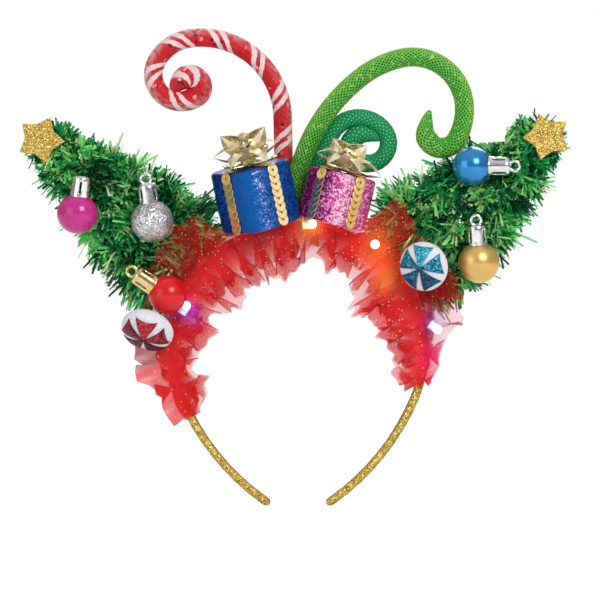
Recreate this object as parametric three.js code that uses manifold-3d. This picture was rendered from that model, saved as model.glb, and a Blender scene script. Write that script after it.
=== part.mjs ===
// Christmas headband with lights. A gold band carries a gathered red ruffle, two tinsel trees with
// stars and balls, two wrapped gifts with bows, two candies, three curled tubes and four lamps.
// Millimetres, +Z up, front towards -Y. The origin is the middle of the band's underside at the
// crown, where it sits on the head.
import * as THREE from "three";
import { mergeVertices } from "three/addons/utils/BufferGeometryUtils.js";
import Module from "manifold-3d";

const gap = 0.3; // air between pieces that rest on each other
const weld = 1e-4; // points nearer than this are one point

const band = {
  thickness: 4.6,
  width: 10,
  bevel: 1,
  crownRadius: 62.8, // centreline of the round crown
  legRadius: 120, // centreline of the flatter legs
  legStart: 114, // degrees from the top where the crown turns into a leg
  legEnd: 145.5,
  segments: 31, // odd, so that a flat facet lies across the middle of the crown
};
const bandTips = [
  { beyond: 0.6, share: 0.85 },
  { beyond: 1.1, share: 0.5 },
];

// The ruffle is a strip gathered along the band's front, with one row of the table for each fold.
const ruffle = {
  wall: 1.5, // along the depth, about 1 mm across a sloping fold
  seamDepth: 6.9, // from the band's middle plane to the gathered line
  innerFlare: 3, // how far the inner edge comes forward
  outerFlare: 4.5,
  seamWave: 0.5,
  fullWaveReach: 10, // a shorter reach has a smaller wave
  valleyShare: 0.86, // reach of a valley beside that of a crest
  stepsPerFold: 2, // a crest and a valley
};
const folds = [
  { at: -118.5, inner: 1.5, outer: 11.5, wave: 2 },
  { at: -113, inner: 12.5, outer: 11, wave: 3 },
  { at: -106, inner: 15.5, outer: 11.5, wave: 3.5 },
  { at: -99, inner: 8, outer: 18, wave: 4 },
  { at: -92, inner: 14, outer: 21.5, wave: 4 },
  { at: -85, inner: 17, outer: 22, wave: 3 },
  { at: -77, inner: 21.5, outer: 20, wave: 2 },
  { at: -69, inner: 13.5, outer: 20, wave: 2 },
  { at: -61, inner: 22, outer: 22.5, wave: 2.5 },
  { at: -53, inner: 25, outer: 23, wave: 3.5 },
  { at: -45, inner: 23.5, outer: 23, wave: 3.5 },
  { at: -38, inner: 22, outer: 22, wave: 4 },
  { at: -31, inner: 25, outer: 1.6, wave: 4 },
  { at: -24, inner: 25, outer: 1.6, wave: 4 },
  { at: -17, inner: 23.5, outer: 1.6, wave: 4 },
  { at: -10, inner: 27, outer: 1.6, wave: 4 },
  { at: -3, inner: 22.5, outer: 1.6, wave: 4 },
  { at: 4, inner: 18, outer: 1.6, wave: 3.5 },
  { at: 12, inner: 14.5, outer: 1.6, wave: 4 },
  { at: 20, inner: 20.5, outer: 1.6, wave: 4 },
  { at: 27.5, inner: 18, outer: 1.6, wave: 4 },
  { at: 35, inner: 19, outer: 24, wave: 4 },
  { at: 42, inner: 21, outer: 22.5, wave: 3 },
  { at: 50, inner: 27, outer: 22, wave: 2 },
  { at: 58, inner: 28, outer: 22.5, wave: 2 },
  { at: 65, inner: 24, outer: 23.5, wave: 2.5 },
  { at: 72, inner: 23.5, outer: 24.5, wave: 4 },
  { at: 80, inner: 23.5, outer: 22, wave: 4 },
  { at: 88, inner: 18.5, outer: 11.5, wave: 4 },
  { at: 96, inner: 15.5, outer: 9.5, wave: 3.5 },
  { at: 103, inner: 15, outer: 6, wave: 3 },
  { at: 110, inner: 10, outer: 4.5, wave: 2 },
  { at: 113, inner: 7, outer: 4, wave: 1.5 },
];

// A tree is a flattened core with a bulge for each turn of tinsel and pointed locks on each bulge.
const trees = [
  { name: "tree_left", baseX: -65.5, baseZ: -9, tipX: -131, tipZ: 45.5, sink: 22, halfWidth: 30 },
  { name: "tree_right", baseX: 64.5, baseZ: -6.5, tipX: 127.5, tipZ: 50, sink: 22, halfWidth: 31 },
];
const tinsel = {
  tipHalfWidth: 9,
  depthAtNoWidth: 4.5, // half-depth is this plus a share of the half-width
  depthShare: 0.24,
  baseDepth: 6.5, // middle of the tree behind the band's middle plane
  tipDepth: 0.5,
  turnPitch: 14.5,
  pinch: 0.84, // core between two turns beside the core at a turn
  endShare: 0.45, // core at both ends beside the core at a turn
  sides: 10,
  lockSpacing: 16,
  lockLength: 12,
  lockRadius: 4.2,
  lockSides: 3,
  lockRise: 24, // degrees towards the tip
  lockRoot: 2.6, // how deep a lock starts inside the core
  lockVariety: 0.2,
  tipShortening: 0.3,
};
// Room that the trees leave for the band and for the ruffle in front of them.
const room = { depth: 90, sides: 72, ruffleReach: 25.4, ruffleBack: 5.3 };

const star = { outer: 12.2, inner: 7.9, thickness: 2.2, points: 5 };
const stars = [
  { name: "star_left", x: -128.5, y: -7.6, z: 45, turn: 67 },
  { name: "star_right", x: 124, y: -7.6, z: 46.5, turn: 38 },
];

// Balls with the direction of their caps: turn is in the front view from +X, nod is towards the front.
const balls = [
  { name: "magenta", radius: 10.1, x: -110, y: -13, z: 8, turn: 82.5, nod: 6, loop: false },
  { name: "silver", radius: 10.6, x: -72.7, y: -14, z: 4.2, turn: 98.6, nod: 4, loop: true },
  { name: "red", radius: 9.5, x: -65, y: -20.2, z: -32.4, turn: 146.6, nod: 0, loop: true },
  { name: "blue", radius: 9.8, x: 86.6, y: -10, z: 31.7, turn: 0, nod: 4, loop: true },
  { name: "gold", radius: 10.3, x: 89.9, y: -9.5, z: -16.3, turn: 93.7, nod: 6, loop: true },
];
const ballSides = 12;
const ballRings = 7;
const cap = {
  radius: 5.1,
  topRadius: 4.7,
  start: 7, // from the ball's middle
  shoulder: 18.2,
  top: 19,
  sides: 10,
  slots: 4,
  slotWidth: 1.4,
  slotDepth: 1.1,
  slotFrom: 10.6,
  slotTo: 16.4,
  loopRadius: 2.6,
  loopWire: 0.6,
  loopSides: 4,
  loopSteps: 8,
  loopSink: 0.5,
};

// Candies: a puffed pad with a wheel of petals laid over its face.
const candy = {
  radius: 12.4,
  edgeRadius: 11.6,
  halfEdge: 2.4,
  crownRadius: 7.2,
  crownRise: 4.5,
  faceRise: 5.2, // crown of the face beyond the pad's middle
  sides: 12,
  petals: 5,
  petalHalfAngle: 21,
  petalReach: 12.6,
  petalWall: 0.8,
  hubRadius: 2.4,
  arcSteps: 1,
};
const candies = [
  { name: "candy_blue", x: 62.4, y: -18.6, z: -18.3, yaw: 0, pitch: 0, spin: 82 },
  { name: "candy_red", x: -74.6, y: -24.2, z: -49.5, yaw: -38, pitch: 40, spin: 63 },
];

// Gifts stand on the crown, lean with it and tip forward. The trim crosses the top and runs down all
// four sides.
const gifts = [
  {
    name: "gift_blue", side: 32.4, height: 31, corner: 8, sequins: 7,
    y: -11, along: -4.7, sunk: 0.9, lean: -12, tip: 10, yaw: 41,
  },
  {
    name: "gift_pink", side: 27, height: 26, corner: 5.5, sequins: 6,
    y: -9, along: 0.3, sunk: 0, lean: 14, tip: 2, yaw: 42,
  },
];
const box = { cornerSteps: 3, endShare: 0.93, waist: 1.012, roundOff: 0.07 };
const sequin = { radius: 3.1, thickness: 1, arcSteps: 2 };
const strap = { width: 3.2, thickness: 0.7, overlap: 0.2 };

const bow = { wall: 0.9, ribbon: 8.8, rise: 4, sag: 1.4, steps: 2 };
const bowHub = { radius: 5, height: 1.8, sides: 8, rings: 4 };
const bowLoop = {
  rootReach: 4, // from the hub's middle
  thinnest: 0.07, // of the ribbon's width at the tip
  rootShare: 0.14,
  holeStart: 0.2,
  holeEnd: 0.88,
};
const bowLoops = [
  { azimuth: 186, elevation: 12, length: 19 },
  { azimuth: 354, elevation: 14, length: 19 },
  { azimuth: 240, elevation: 10, length: 16 },
  { azimuth: 300, elevation: 10, length: 16 },
  { azimuth: 212, elevation: 50, length: 20 },
  { azimuth: 322, elevation: 46, length: 20 },
  { azimuth: 80, elevation: 60, length: 18 },
];

// Curled tubes are walked as arcs from a start on the crown or at the band's back edge. A positive turn
// goes left.
const curlSides = 10;
const curlStep = 28; // degrees of turn between two rings at most
const curlStride = 18; // length between two rings at most
const curlTaper = { length: 15, tip: 0.16 };
const curls = [
  {
    name: "curl_cane", radius: 4.4, x: -10.7, y: 9.9, z: -2, heading: 74,
    arcs: [
      { radius: 99, turn: 16.2 },
      { radius: 1200, turn: 1.5 },
      { radius: 40.8, turn: 97.2 },
      { radius: 22, turn: 55.5 },
      { radius: 14.1, turn: 151.7 },
      { radius: 7.1, turn: 150 },
      { radius: 22, turn: 28 },
    ],
  },
  {
    name: "curl_lime", radius: 4.7, x: -1.4, y: 3.2, z: 5.2, heading: 91,
    arcs: [
      { radius: 88, turn: -53.8 },
      { radius: 50, turn: -24.8 },
      { radius: 26.6, turn: -129.9 },
      { radius: 9.2, turn: -216.2 },
    ],
  },
  {
    name: "curl_green", radius: 4.1, x: 8.3, y: 9.7, z: -2, heading: 101,
    arcs: [
      { radius: 73.5, turn: -40.7 },
      { radius: 15.6, turn: -117.1 },
      { radius: 10.2, turn: -128.1 },
      { radius: 7.6, turn: -205 },
    ],
  },
];

// Lamps: turn is in the front view from +X, nod is towards the front.
const lamp = { radius: 2.2, length: 7, rim: 2.6, rimHeight: 1, sides: 8, domeSteps: 2 };
const lamps = [
  { name: "led_1", x: 5.5, y: -11.2, z: 2.7, turn: 4, nod: 0 },
  { name: "led_2", x: 38.2, y: -13.6, z: -7.3, turn: 0, nod: 90 },
  { name: "led_3", x: -56.5, y: -11.5, z: -39, turn: 60, nod: 0 },
  { name: "led_4", x: 68.2, y: -13, z: -48.8, turn: -36, nod: 0 },
];

const looks = {
  goldGlitter: { color: 0xc89a3c, roughness: 0.45, metalness: 0.8 },
  redTulle: { color: 0xd8202a, roughness: 0.7, metalness: 0 },
  greenTinsel: { color: 0x1f8a3a, roughness: 0.3, metalness: 0.7 },
  magenta: { color: 0xb0105a, roughness: 0.12, metalness: 0.3 },
  silver: { color: 0xc9cdd2, roughness: 0.35, metalness: 0.9 },
  red: { color: 0xb3121c, roughness: 0.12, metalness: 0.3 },
  blue: { color: 0x2458b8, roughness: 0.2, metalness: 0.6 },
  goldSatin: { color: 0xd2a24a, roughness: 0.4, metalness: 0.8 },
  white: { color: 0xf4f4f2, roughness: 0.6, metalness: 0 },
  tealGlitter: { color: 0x1593b5, roughness: 0.4, metalness: 0.5 },
  redGlitter: { color: 0x8f1420, roughness: 0.4, metalness: 0.5 },
  blueFilm: { color: 0x2f63c4, roughness: 0.3, metalness: 0.6 },
  pinkFilm: { color: 0xd9439a, roughness: 0.3, metalness: 0.6 },
  goldFoil: { color: 0xd8c089, roughness: 0.3, metalness: 0.9 },
  candyCane: { color: 0xc8141e, roughness: 0.5, metalness: 0 },
  lime: { color: 0x8fd321, roughness: 0.5, metalness: 0 },
  green: { color: 0x2f9a2f, roughness: 0.5, metalness: 0 },
  lampGlow: { color: 0xfff3d8, roughness: 0.2, metalness: 0 },
};

const wasm = await Module();
wasm.setup();

const rad = THREE.MathUtils.degToRad;
const lerp = THREE.MathUtils.lerp;
const up = new THREE.Vector3(0, 0, 1);
const depthAxis = new THREE.Vector3(0, 1, 0);

// Turns a closed geometry into a solid that can be joined and cut.
function toSolid(geometry) {
  const bare = new THREE.BufferGeometry();
  bare.setAttribute("position", geometry.attributes.position);
  bare.setIndex(geometry.index);
  const merged = mergeVertices(bare, weld);
  const vertProperties = Float32Array.from(merged.attributes.position.array);
  const triVerts = Uint32Array.from(merged.index.array);
  return new wasm.Manifold(new wasm.Mesh({ numProp: 3, vertProperties, triVerts }));
}

function toGeometry(solid) {
  const mesh = solid.getMesh();
  const geometry = new THREE.BufferGeometry();
  geometry.setAttribute("position", new THREE.BufferAttribute(mesh.vertProperties, 3));
  geometry.setIndex(new THREE.BufferAttribute(mesh.triVerts, 1));
  return geometry;
}

function join(geometries) {
  return geometries.map(toSolid).reduce((whole, piece) => whole.add(piece));
}

function cut(solid, cutters) {
  return cutters.map(toSolid).reduce((whole, cutter) => whole.subtract(cutter), solid);
}

// Keeps the main body where a cut has set crumbs free.
function mainBody(solid) {
  return solid.decompose().reduce((best, piece) => (piece.volume() > best.volume() ? piece : best));
}

// A closed skin through rings of points, with both ends closed by strips. Faces point outwards.
// In a folded wall the second half of a ring is its back, and creases along the same diagonals.
function loft(rings, folded = false) {
  const count = rings[0].length;
  const last = (rings.length - 1) * count;
  const index = [];
  for (let start = 0; start < last; start += count) {
    for (let i = 0; i < count; i++) {
      const a = start + i;
      const b = start + ((i + 1) % count);
      if (folded && i >= count / 2) {
        index.push(a, b, b + count, a, b + count, a + count);
      } else {
        index.push(a, b, a + count, b, b + count, a + count);
      }
    }
  }
  for (let i = 0; i < count / 2 - 1; i++) {
    const far = count - 1 - i;
    index.push(i, far, i + 1, i + 1, far, far - 1);
    index.push(last + i, last + i + 1, last + far, last + i + 1, last + far - 1, last + far);
  }
  const points = rings.flat();
  let volume = 0;
  for (let i = 0; i < index.length; i += 3) {
    const [a, b, c] = [points[index[i]], points[index[i + 1]], points[index[i + 2]]];
    volume += a.dot(b.clone().cross(c));
  }
  const geometry = new THREE.BufferGeometry().setFromPoints(points);
  geometry.setIndex(volume < 0 ? index.reverse() : index);
  return geometry;
}

// Direction that is turned in the front view from +X and nods towards the front.
function heading(turn, nod) {
  const flat = Math.cos(rad(nod));
  return new THREE.Vector3(flat * Math.cos(rad(turn)), -Math.sin(rad(nod)), flat * Math.sin(rad(turn)));
}

// Moves a geometry that was built along +Z so that it points along a direction from a place.
function aim(geometry, direction, place) {
  geometry.applyQuaternion(new THREE.Quaternion().setFromUnitVectors(up, direction));
  return geometry.translate(place.x, place.y, place.z);
}

function lathe(profile, sides) {
  const outline = profile.map(({ radius, height }) => new THREE.Vector2(radius, height));
  return new THREE.LatheGeometry(outline, sides).rotateX(Math.PI / 2);
}

const group = new THREE.Group();

function add(name, geometry, look) {
  geometry.computeVertexNormals();
  const mesh = new THREE.Mesh(geometry, new THREE.MeshStandardMaterial(look));
  mesh.name = name;
  group.add(mesh);
}

// Band
const bandHalf = band.thickness / 2;
const facet = rad(band.legEnd) / band.segments;
const crownZ = -(band.crownRadius - bandHalf) * Math.cos(facet);

// Point of the band's centreline that faces an angle from the top, moved outwards.
function hoopPoint(angle, out, y) {
  const turn = Math.abs(rad(angle));
  const legTurn = rad(band.legStart);
  const shift = turn > legTurn ? band.legRadius - band.crownRadius : 0;
  const radius = band.crownRadius + shift + out;
  const x = radius * Math.sin(turn) - shift * Math.sin(legTurn);
  const z = radius * Math.cos(turn) - shift * Math.cos(legTurn);
  return new THREE.Vector3(Math.sign(angle) * x, y, crownZ + z);
}

function bandRing(angle, share) {
  const wide = (band.width / 2) * share;
  const thick = bandHalf * share;
  const bevel = band.bevel * share;
  const corners = [
    { y: wide, out: thick - bevel },
    { y: wide - bevel, out: thick },
    { y: bevel - wide, out: thick },
    { y: -wide, out: thick - bevel },
    { y: -wide, out: bevel - thick },
    { y: bevel - wide, out: -thick },
    { y: wide - bevel, out: -thick },
    { y: wide, out: bevel - thick },
  ];
  return corners.map(({ y, out }) => hoopPoint(angle, out, y));
}

const bandRings = [];
for (let i = 0; i <= band.segments; i++) {
  bandRings.push(bandRing(lerp(-band.legEnd, band.legEnd, i / band.segments), 1));
}
for (const { beyond, share } of bandTips) {
  bandRings.unshift(bandRing(-band.legEnd - beyond, share));
  bandRings.push(bandRing(band.legEnd + beyond, share));
}
add("band", loft(bandRings), looks.goldGlitter);

// Ruffle
const ruffleRings = [];
for (let step = 0; step <= (folds.length - 1) * ruffle.stepsPerFold; step++) {
  const at = step / ruffle.stepsPerFold;
  const low = folds[Math.min(Math.floor(at), folds.length - 2)];
  const high = folds[folds.indexOf(low) + 1];
  const share = at - folds.indexOf(low);
  const angle = lerp(low.at, high.at, share);
  const crest = Math.cos(2 * Math.PI * at);
  const fullness = lerp(ruffle.valleyShare, 1, (crest + 1) / 2);
  const inner = lerp(low.inner, high.inner, share) * fullness;
  const outer = lerp(low.outer, high.outer, share) * fullness;
  const wave = lerp(low.wave, high.wave, share);
  const waveAt = (reach) => crest * wave * Math.min(1, reach / ruffle.fullWaveReach);
  const outerFlare = ruffle.outerFlare * Math.min(1, outer / ruffle.fullWaveReach);
  const lines = [
    { out: -inner, y: -ruffle.seamDepth - ruffle.innerFlare - waveAt(inner) },
    { out: 0, y: -ruffle.seamDepth - crest * ruffle.seamWave },
    { out: outer, y: -ruffle.seamDepth - outerFlare - waveAt(outer) },
  ];
  const front = lines.map(({ out, y }) => hoopPoint(angle, out, y - ruffle.wall / 2));
  const back = lines.map(({ out, y }) => hoopPoint(angle, out, y + ruffle.wall / 2));
  ruffleRings.push([...front, ...back.reverse()]);
}
add("ruffle", loft(ruffleRings, true), looks.redTulle);

// Gifts, each with its own frame: standing on the crown at its foot, leaning and tipped, without the yaw.
function giftFrame(gift) {
  const lean = rad(gift.lean);
  const out = band.crownRadius + bandHalf + gap - gift.sunk;
  const x = out * Math.sin(lean) + gift.along * Math.cos(lean);
  const z = crownZ + out * Math.cos(lean) - gift.along * Math.sin(lean);
  const tipped = new THREE.Matrix4().makeRotationX(rad(gift.tip));
  return new THREE.Matrix4().makeRotationY(lean).multiply(tipped).setPosition(x, gift.y, z);
}

// Rounded square of the given size at a height.
function squareRing(side, corner, height) {
  const ring = [];
  const inset = side / 2 - corner;
  for (let quarter = 0; quarter < 4; quarter++) {
    for (let i = 0; i <= box.cornerSteps; i++) {
      const angle = (Math.PI / 2) * (quarter + i / box.cornerSteps);
      const middle = (Math.PI / 2) * quarter + Math.PI / 4;
      const x = inset * Math.sign(Math.cos(middle)) + corner * Math.cos(angle);
      const y = inset * Math.sign(Math.sin(middle)) + corner * Math.sin(angle);
      ring.push(new THREE.Vector3(x, y, height));
    }
  }
  return ring;
}

function giftBox(gift, extra) {
  const side = gift.side + 2 * extra;
  const low = -extra;
  const high = gift.height + extra;
  const round = gift.height * box.roundOff;
  const rings = [
    squareRing(side * box.endShare, gift.corner, low),
    squareRing(side, gift.corner, low + round),
    squareRing(side * box.waist, gift.corner, (low + high) / 2),
    squareRing(side, gift.corner, high - round),
    squareRing(side * box.endShare, gift.corner, high),
  ];
  return loft(rings).rotateZ(rad(gift.yaw)).applyMatrix4(giftFrame(gift));
}

// Outline of a string of overlapping round sequins that stands upright from zero to a height.
function sequinString(count, height) {
  const pitch = (height - 2 * sequin.radius) / (count - 1);
  const meet = Math.asin(pitch / 2 / sequin.radius);
  const rightSide = [];
  for (let i = 0; i < count; i++) {
    const from = i === 0 ? -Math.PI / 2 : -meet;
    const to = i === count - 1 ? Math.PI / 2 : meet;
    for (let step = 0; step < sequin.arcSteps + (i === count - 1 ? 1 : 0); step++) {
      const angle = lerp(from, to, step / sequin.arcSteps);
      const middle = sequin.radius + i * pitch;
      rightSide.push({ x: sequin.radius * Math.cos(angle), y: middle + sequin.radius * Math.sin(angle) });
    }
  }
  const leftSide = rightSide.slice(1, -1).reverse();
  const outline = rightSide.map(({ x, y }) => new THREE.Vector2(x, y));
  outline.push(...leftSide.map(({ x, y }) => new THREE.Vector2(-x, y)));
  return new THREE.Shape(outline);
}

function giftTrim(gift) {
  const half = (gift.side * box.waist) / 2 + gap;
  const top = gift.height + gap + strap.thickness;
  const string = { depth: sequin.thickness, bevelEnabled: false };
  const pieces = [];
  for (let quarter = 0; quarter < 4; quarter++) {
    const face = new THREE.ExtrudeGeometry(sequinString(gift.sequins, top), string);
    face.rotateX(Math.PI / 2).rotateZ(Math.PI / 2).translate(half, 0, 0);
    const across = half + sequin.thickness / 2;
    const overTop = new THREE.BoxGeometry(across + strap.overlap, strap.width, strap.thickness);
    overTop.translate((across - strap.overlap) / 2, 0, top - strap.thickness / 2);
    pieces.push(...[face, overTop].map((piece) => piece.rotateZ((Math.PI / 2) * quarter)));
  }
  const frame = giftFrame(gift);
  return toGeometry(join(pieces.map((piece) => piece.rotateZ(rad(gift.yaw)).applyMatrix4(frame))));
}

// A pointed ribbon loop along +X, which rises in Z and narrows in Y towards its tip.
function ribbonLoop(length) {
  const steps = Array.from({ length: bow.steps + 1 }, (_, i) => i / bow.steps);
  const swell = (share) => Math.sin(Math.PI * share);
  const upper = (share, shift) => new THREE.Vector2(share * length, bow.rise * swell(share) + shift);
  const lower = (share, shift) => new THREE.Vector2(share * length, -bow.sag * swell(share) + shift);
  const half = bow.wall / 2;
  const outline = steps.map((share) => upper(share, half));
  outline.push(...steps.map((share) => lower(share, -half)).reverse());
  const holeSteps = steps.map((share) => lerp(bowLoop.holeStart, bowLoop.holeEnd, share));
  const hole = holeSteps.map((share) => lower(share, half));
  hole.push(...holeSteps.slice(1, -1).map((share) => upper(share, -half)).reverse());
  const shape = new THREE.Shape(outline);
  shape.holes.push(new THREE.Path(hole));
  const loop = new THREE.ExtrudeGeometry(shape, { depth: bow.ribbon, bevelEnabled: false });
  loop.translate(0, 0, -bow.ribbon / 2).rotateX(Math.PI / 2);
  const points = loop.attributes.position;
  for (let i = 0; i < points.count; i++) {
    const share = lerp(bowLoop.rootShare, 1, points.getX(i) / length);
    points.setY(i, points.getY(i) * Math.max(bowLoop.thinnest, swell(share)));
  }
  return loop;
}

function giftBow(gift) {
  const hub = new THREE.SphereGeometry(bowHub.radius, bowHub.sides, bowHub.rings);
  const pieces = [hub.rotateX(Math.PI / 2).translate(0, 0, bowHub.height)];
  for (const { azimuth, elevation, length } of bowLoops) {
    const loop = ribbonLoop(length - bowLoop.rootReach).translate(bowLoop.rootReach, 0, 0);
    loop.rotateY(-rad(elevation)).rotateZ(rad(azimuth));
    pieces.push(loop.translate(0, 0, bowHub.height));
  }
  const seat = gift.height + strap.thickness + 2 * gap;
  const whole = join(pieces.map((piece) => piece.translate(0, 0, seat).applyMatrix4(giftFrame(gift))));
  const floor = new THREE.BoxGeometry(gift.side * 2, gift.side * 2, gift.height);
  floor.translate(0, 0, seat - gift.height / 2).applyMatrix4(giftFrame(gift));
  return toGeometry(mainBody(cut(whole, [floor])));
}

for (const gift of gifts) {
  const colour = gift.name.replace("gift_", "");
  add(gift.name, giftBox(gift, 0), looks[`${colour}Film`]);
  add(`${gift.name}_trim`, giftTrim(gift), looks.goldFoil);
  add(`bow_${colour}`, giftBow(gift), looks.goldFoil);
}

// Curled tubes
function curlTube(curl, extra) {
  const stops = [];
  let [x, z, turned, walked] = [curl.x, curl.z, rad(curl.heading), 0];
  stops.push({ x, z, turned, walked });
  for (const { radius, turn } of curl.arcs) {
    const length = radius * rad(Math.abs(turn));
    const count = Math.ceil(Math.max(length / curlStride, Math.abs(turn) / curlStep));
    const angle = rad(turn) / count;
    const chord = 2 * radius * Math.sin(Math.abs(angle) / 2);
    for (let i = 0; i < count; i++) {
      x += chord * Math.cos(turned + angle / 2);
      z += chord * Math.sin(turned + angle / 2);
      turned += angle;
      walked += chord;
      stops.push({ x, z, turned, walked });
    }
  }
  const rings = stops.map((stop) => {
    const left = Math.min(1, (walked - stop.walked) / curlTaper.length);
    const radius = curl.radius * lerp(curlTaper.tip, 1, Math.sqrt(left)) + extra;
    return Array.from({ length: curlSides }, (_, i) => {
      const around = (2 * Math.PI * (i + 0.5)) / curlSides;
      const side = radius * Math.cos(around);
      const sideX = -Math.sin(stop.turned) * side;
      const sideZ = Math.cos(stop.turned) * side;
      return new THREE.Vector3(stop.x + sideX, curl.y + radius * Math.sin(around), stop.z + sideZ);
    });
  });
  return loft(rings);
}
add("curl_cane", curlTube(curls[0], 0), looks.candyCane);
add("curl_lime", curlTube(curls[1], 0), looks.lime);
add("curl_green", curlTube(curls[2], 0), looks.green);

// Balls and caps
function ballBody(ball, extra) {
  return aim(
    new THREE.SphereGeometry(ball.radius + extra, ballSides, ballRings).rotateX(Math.PI / 2),
    heading(ball.turn, ball.nod),
    ball,
  );
}

function ballCap(ball) {
  const profile = [
    { radius: 0, height: cap.start },
    { radius: cap.radius, height: cap.start },
    { radius: cap.topRadius, height: cap.shoulder },
    { radius: cap.topRadius - (cap.top - cap.shoulder), height: cap.top },
    { radius: 0, height: cap.top },
  ];
  const pieces = [lathe(profile, cap.sides)];
  if (ball.loop) {
    const loop = new THREE.TorusGeometry(cap.loopRadius, cap.loopWire, cap.loopSides, cap.loopSteps);
    pieces.push(loop.rotateX(Math.PI / 2).translate(0, 0, cap.top + cap.loopRadius - cap.loopSink));
  }
  const slots = [];
  for (let i = 0; i < cap.slots; i++) {
    const slot = new THREE.BoxGeometry(2 * cap.slotDepth, cap.slotWidth, cap.slotTo - cap.slotFrom);
    slot.translate(cap.topRadius, 0, (cap.slotFrom + cap.slotTo) / 2);
    slots.push(slot.rotateZ((2 * Math.PI * (i + 0.5)) / cap.slots));
  }
  const direction = heading(ball.turn, ball.nod);
  const body = join(pieces.map((piece) => aim(piece, direction, ball)));
  const cutters = [ballBody(ball, gap), ...slots.map((slot) => aim(slot, direction, ball))];
  return toGeometry(mainBody(cut(body, cutters)));
}

function capRoom(ball) {
  const end = cap.top + 2 * cap.loopRadius + gap;
  const room = new THREE.CylinderGeometry(cap.radius + gap, cap.radius + gap, end, cap.sides);
  return aim(room.rotateX(Math.PI / 2).translate(0, 0, end / 2), heading(ball.turn, ball.nod), ball);
}

const ballLooks = {
  magenta: looks.magenta,
  silver: looks.silver,
  red: looks.red,
  blue: looks.blue,
  gold: looks.goldSatin,
};
for (const ball of balls) {
  add(`ball_${ball.name}`, ballBody(ball, 0), ballLooks[ball.name]);
  add(`cap_${ball.name}`, ballCap(ball), ball.name === "red" ? looks.goldSatin : looks.silver);
}

// Stars
function starPlate({ x, y, z, turn }, extra) {
  const outline = [];
  for (let i = 0; i < 2 * star.points; i++) {
    const reach = (i % 2 ? star.inner : star.outer) + extra;
    const angle = rad(turn) + (Math.PI * i) / star.points;
    outline.push(new THREE.Vector2(reach * Math.cos(angle), reach * Math.sin(angle)));
  }
  const depth = star.thickness + 2 * extra;
  const plate = new THREE.ExtrudeGeometry(new THREE.Shape(outline), { depth, bevelEnabled: false });
  return plate.translate(0, 0, -depth / 2).rotateX(Math.PI / 2).translate(x, y, z);
}
for (const place of stars) {
  add(place.name, starPlate(place, 0), looks.goldGlitter);
}

// Trees
function treeBody(tree) {
  const along = new THREE.Vector3(tree.tipX - tree.baseX, 0, tree.tipZ - tree.baseZ);
  const length = along.length();
  along.normalize();
  const across = new THREE.Vector3(along.z, 0, -along.x);
  const frame = new THREE.Matrix4().makeBasis(across, depthAxis, along);
  frame.setPosition(tree.baseX, 0, tree.baseZ);
  const turns = Math.round((length + tree.sink) / tinsel.turnPitch);
  const section = (height, share) => {
    const rise = THREE.MathUtils.clamp(height / length, 0, 1);
    const wide = lerp(tree.halfWidth, tinsel.tipHalfWidth, rise);
    const deep = tinsel.depthAtNoWidth + tinsel.depthShare * wide;
    const y = lerp(tinsel.baseDepth, tinsel.tipDepth, rise);
    return { rise, height, y, wide: wide * share, deep: deep * share };
  };
  const heightAt = (turn) => lerp(-tree.sink, length, turn / turns);
  const rings = [];
  for (let half = 0; half <= 2 * turns; half++) {
    const valley = half % (2 * turns) ? tinsel.pinch : tinsel.endShare;
    const { height, y, wide, deep } = section(heightAt(half / 2), half % 2 ? 1 : valley);
    rings.push(Array.from({ length: tinsel.sides }, (_, i) => {
      const around = (2 * Math.PI * (i + 0.5)) / tinsel.sides;
      return new THREE.Vector3(wide * Math.cos(around), y + deep * Math.sin(around), height);
    }));
  }
  const pieces = [loft(rings)];
  for (let turn = 0; turn < turns; turn++) {
    const { rise, height, y, wide, deep } = section(heightAt(turn + 0.5), 1);
    const count = Math.round((Math.PI * (wide + deep)) / tinsel.lockSpacing);
    for (let i = 0; i < count; i++) {
      const around = (2 * Math.PI * (i + (turn % 2) / 2)) / count;
      const size = 1 - tinsel.tipShortening * rise + tinsel.lockVariety * Math.sin(i * turns + turn);
      const long = tinsel.lockLength * size;
      const lift = Math.sin(rad(tinsel.lockRise));
      const outward = new THREE.Vector3(Math.cos(around) / wide, Math.sin(around) / deep, 0).normalize();
      outward.multiplyScalar(Math.cos(rad(tinsel.lockRise))).setZ(lift);
      const root = new THREE.Vector3(wide * Math.cos(around), y + deep * Math.sin(around), height);
      root.addScaledVector(outward, -tinsel.lockRoot);
      const lock = new THREE.ConeGeometry(tinsel.lockRadius, long, tinsel.lockSides);
      pieces.push(aim(lock.rotateX(Math.PI / 2).translate(0, 0, long / 2), outward, root));
    }
  }
  return join(pieces.map((piece) => piece.applyMatrix4(frame)));
}

// Drum around the crown's middle that ends at a depth behind the front.
function roundRoom(radius, back) {
  const drum = new THREE.CylinderGeometry(radius, radius, room.depth, room.sides);
  return drum.translate(0, back - room.depth / 2, crownZ);
}
const treeRooms = [
  roundRoom(band.crownRadius + bandHalf + 2 * gap, room.depth / 2),
  roundRoom(band.crownRadius + room.ruffleReach, -room.ruffleBack),
  ...balls.map((ball) => ballBody(ball, gap)),
  ...balls.map(capRoom),
  ...stars.map((place) => starPlate(place, gap)),
  ...gifts.map((gift) => giftBox(gift, 2 * sequin.thickness)),
  curlTube(curls[1], 2 * gap),
];
for (const tree of trees) {
  add(tree.name, toGeometry(mainBody(cut(treeBody(tree), treeRooms))), looks.greenTinsel);
}

// Candies
function candyFrame({ x, y, z, yaw, pitch, spin }) {
  const facing = new THREE.Euler(rad(90 + pitch), 0, rad(yaw), "ZXY");
  const turned = new THREE.Matrix4().makeRotationFromEuler(facing);
  return turned.multiply(new THREE.Matrix4().makeRotationZ(rad(spin))).setPosition(x, y, z);
}

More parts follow.
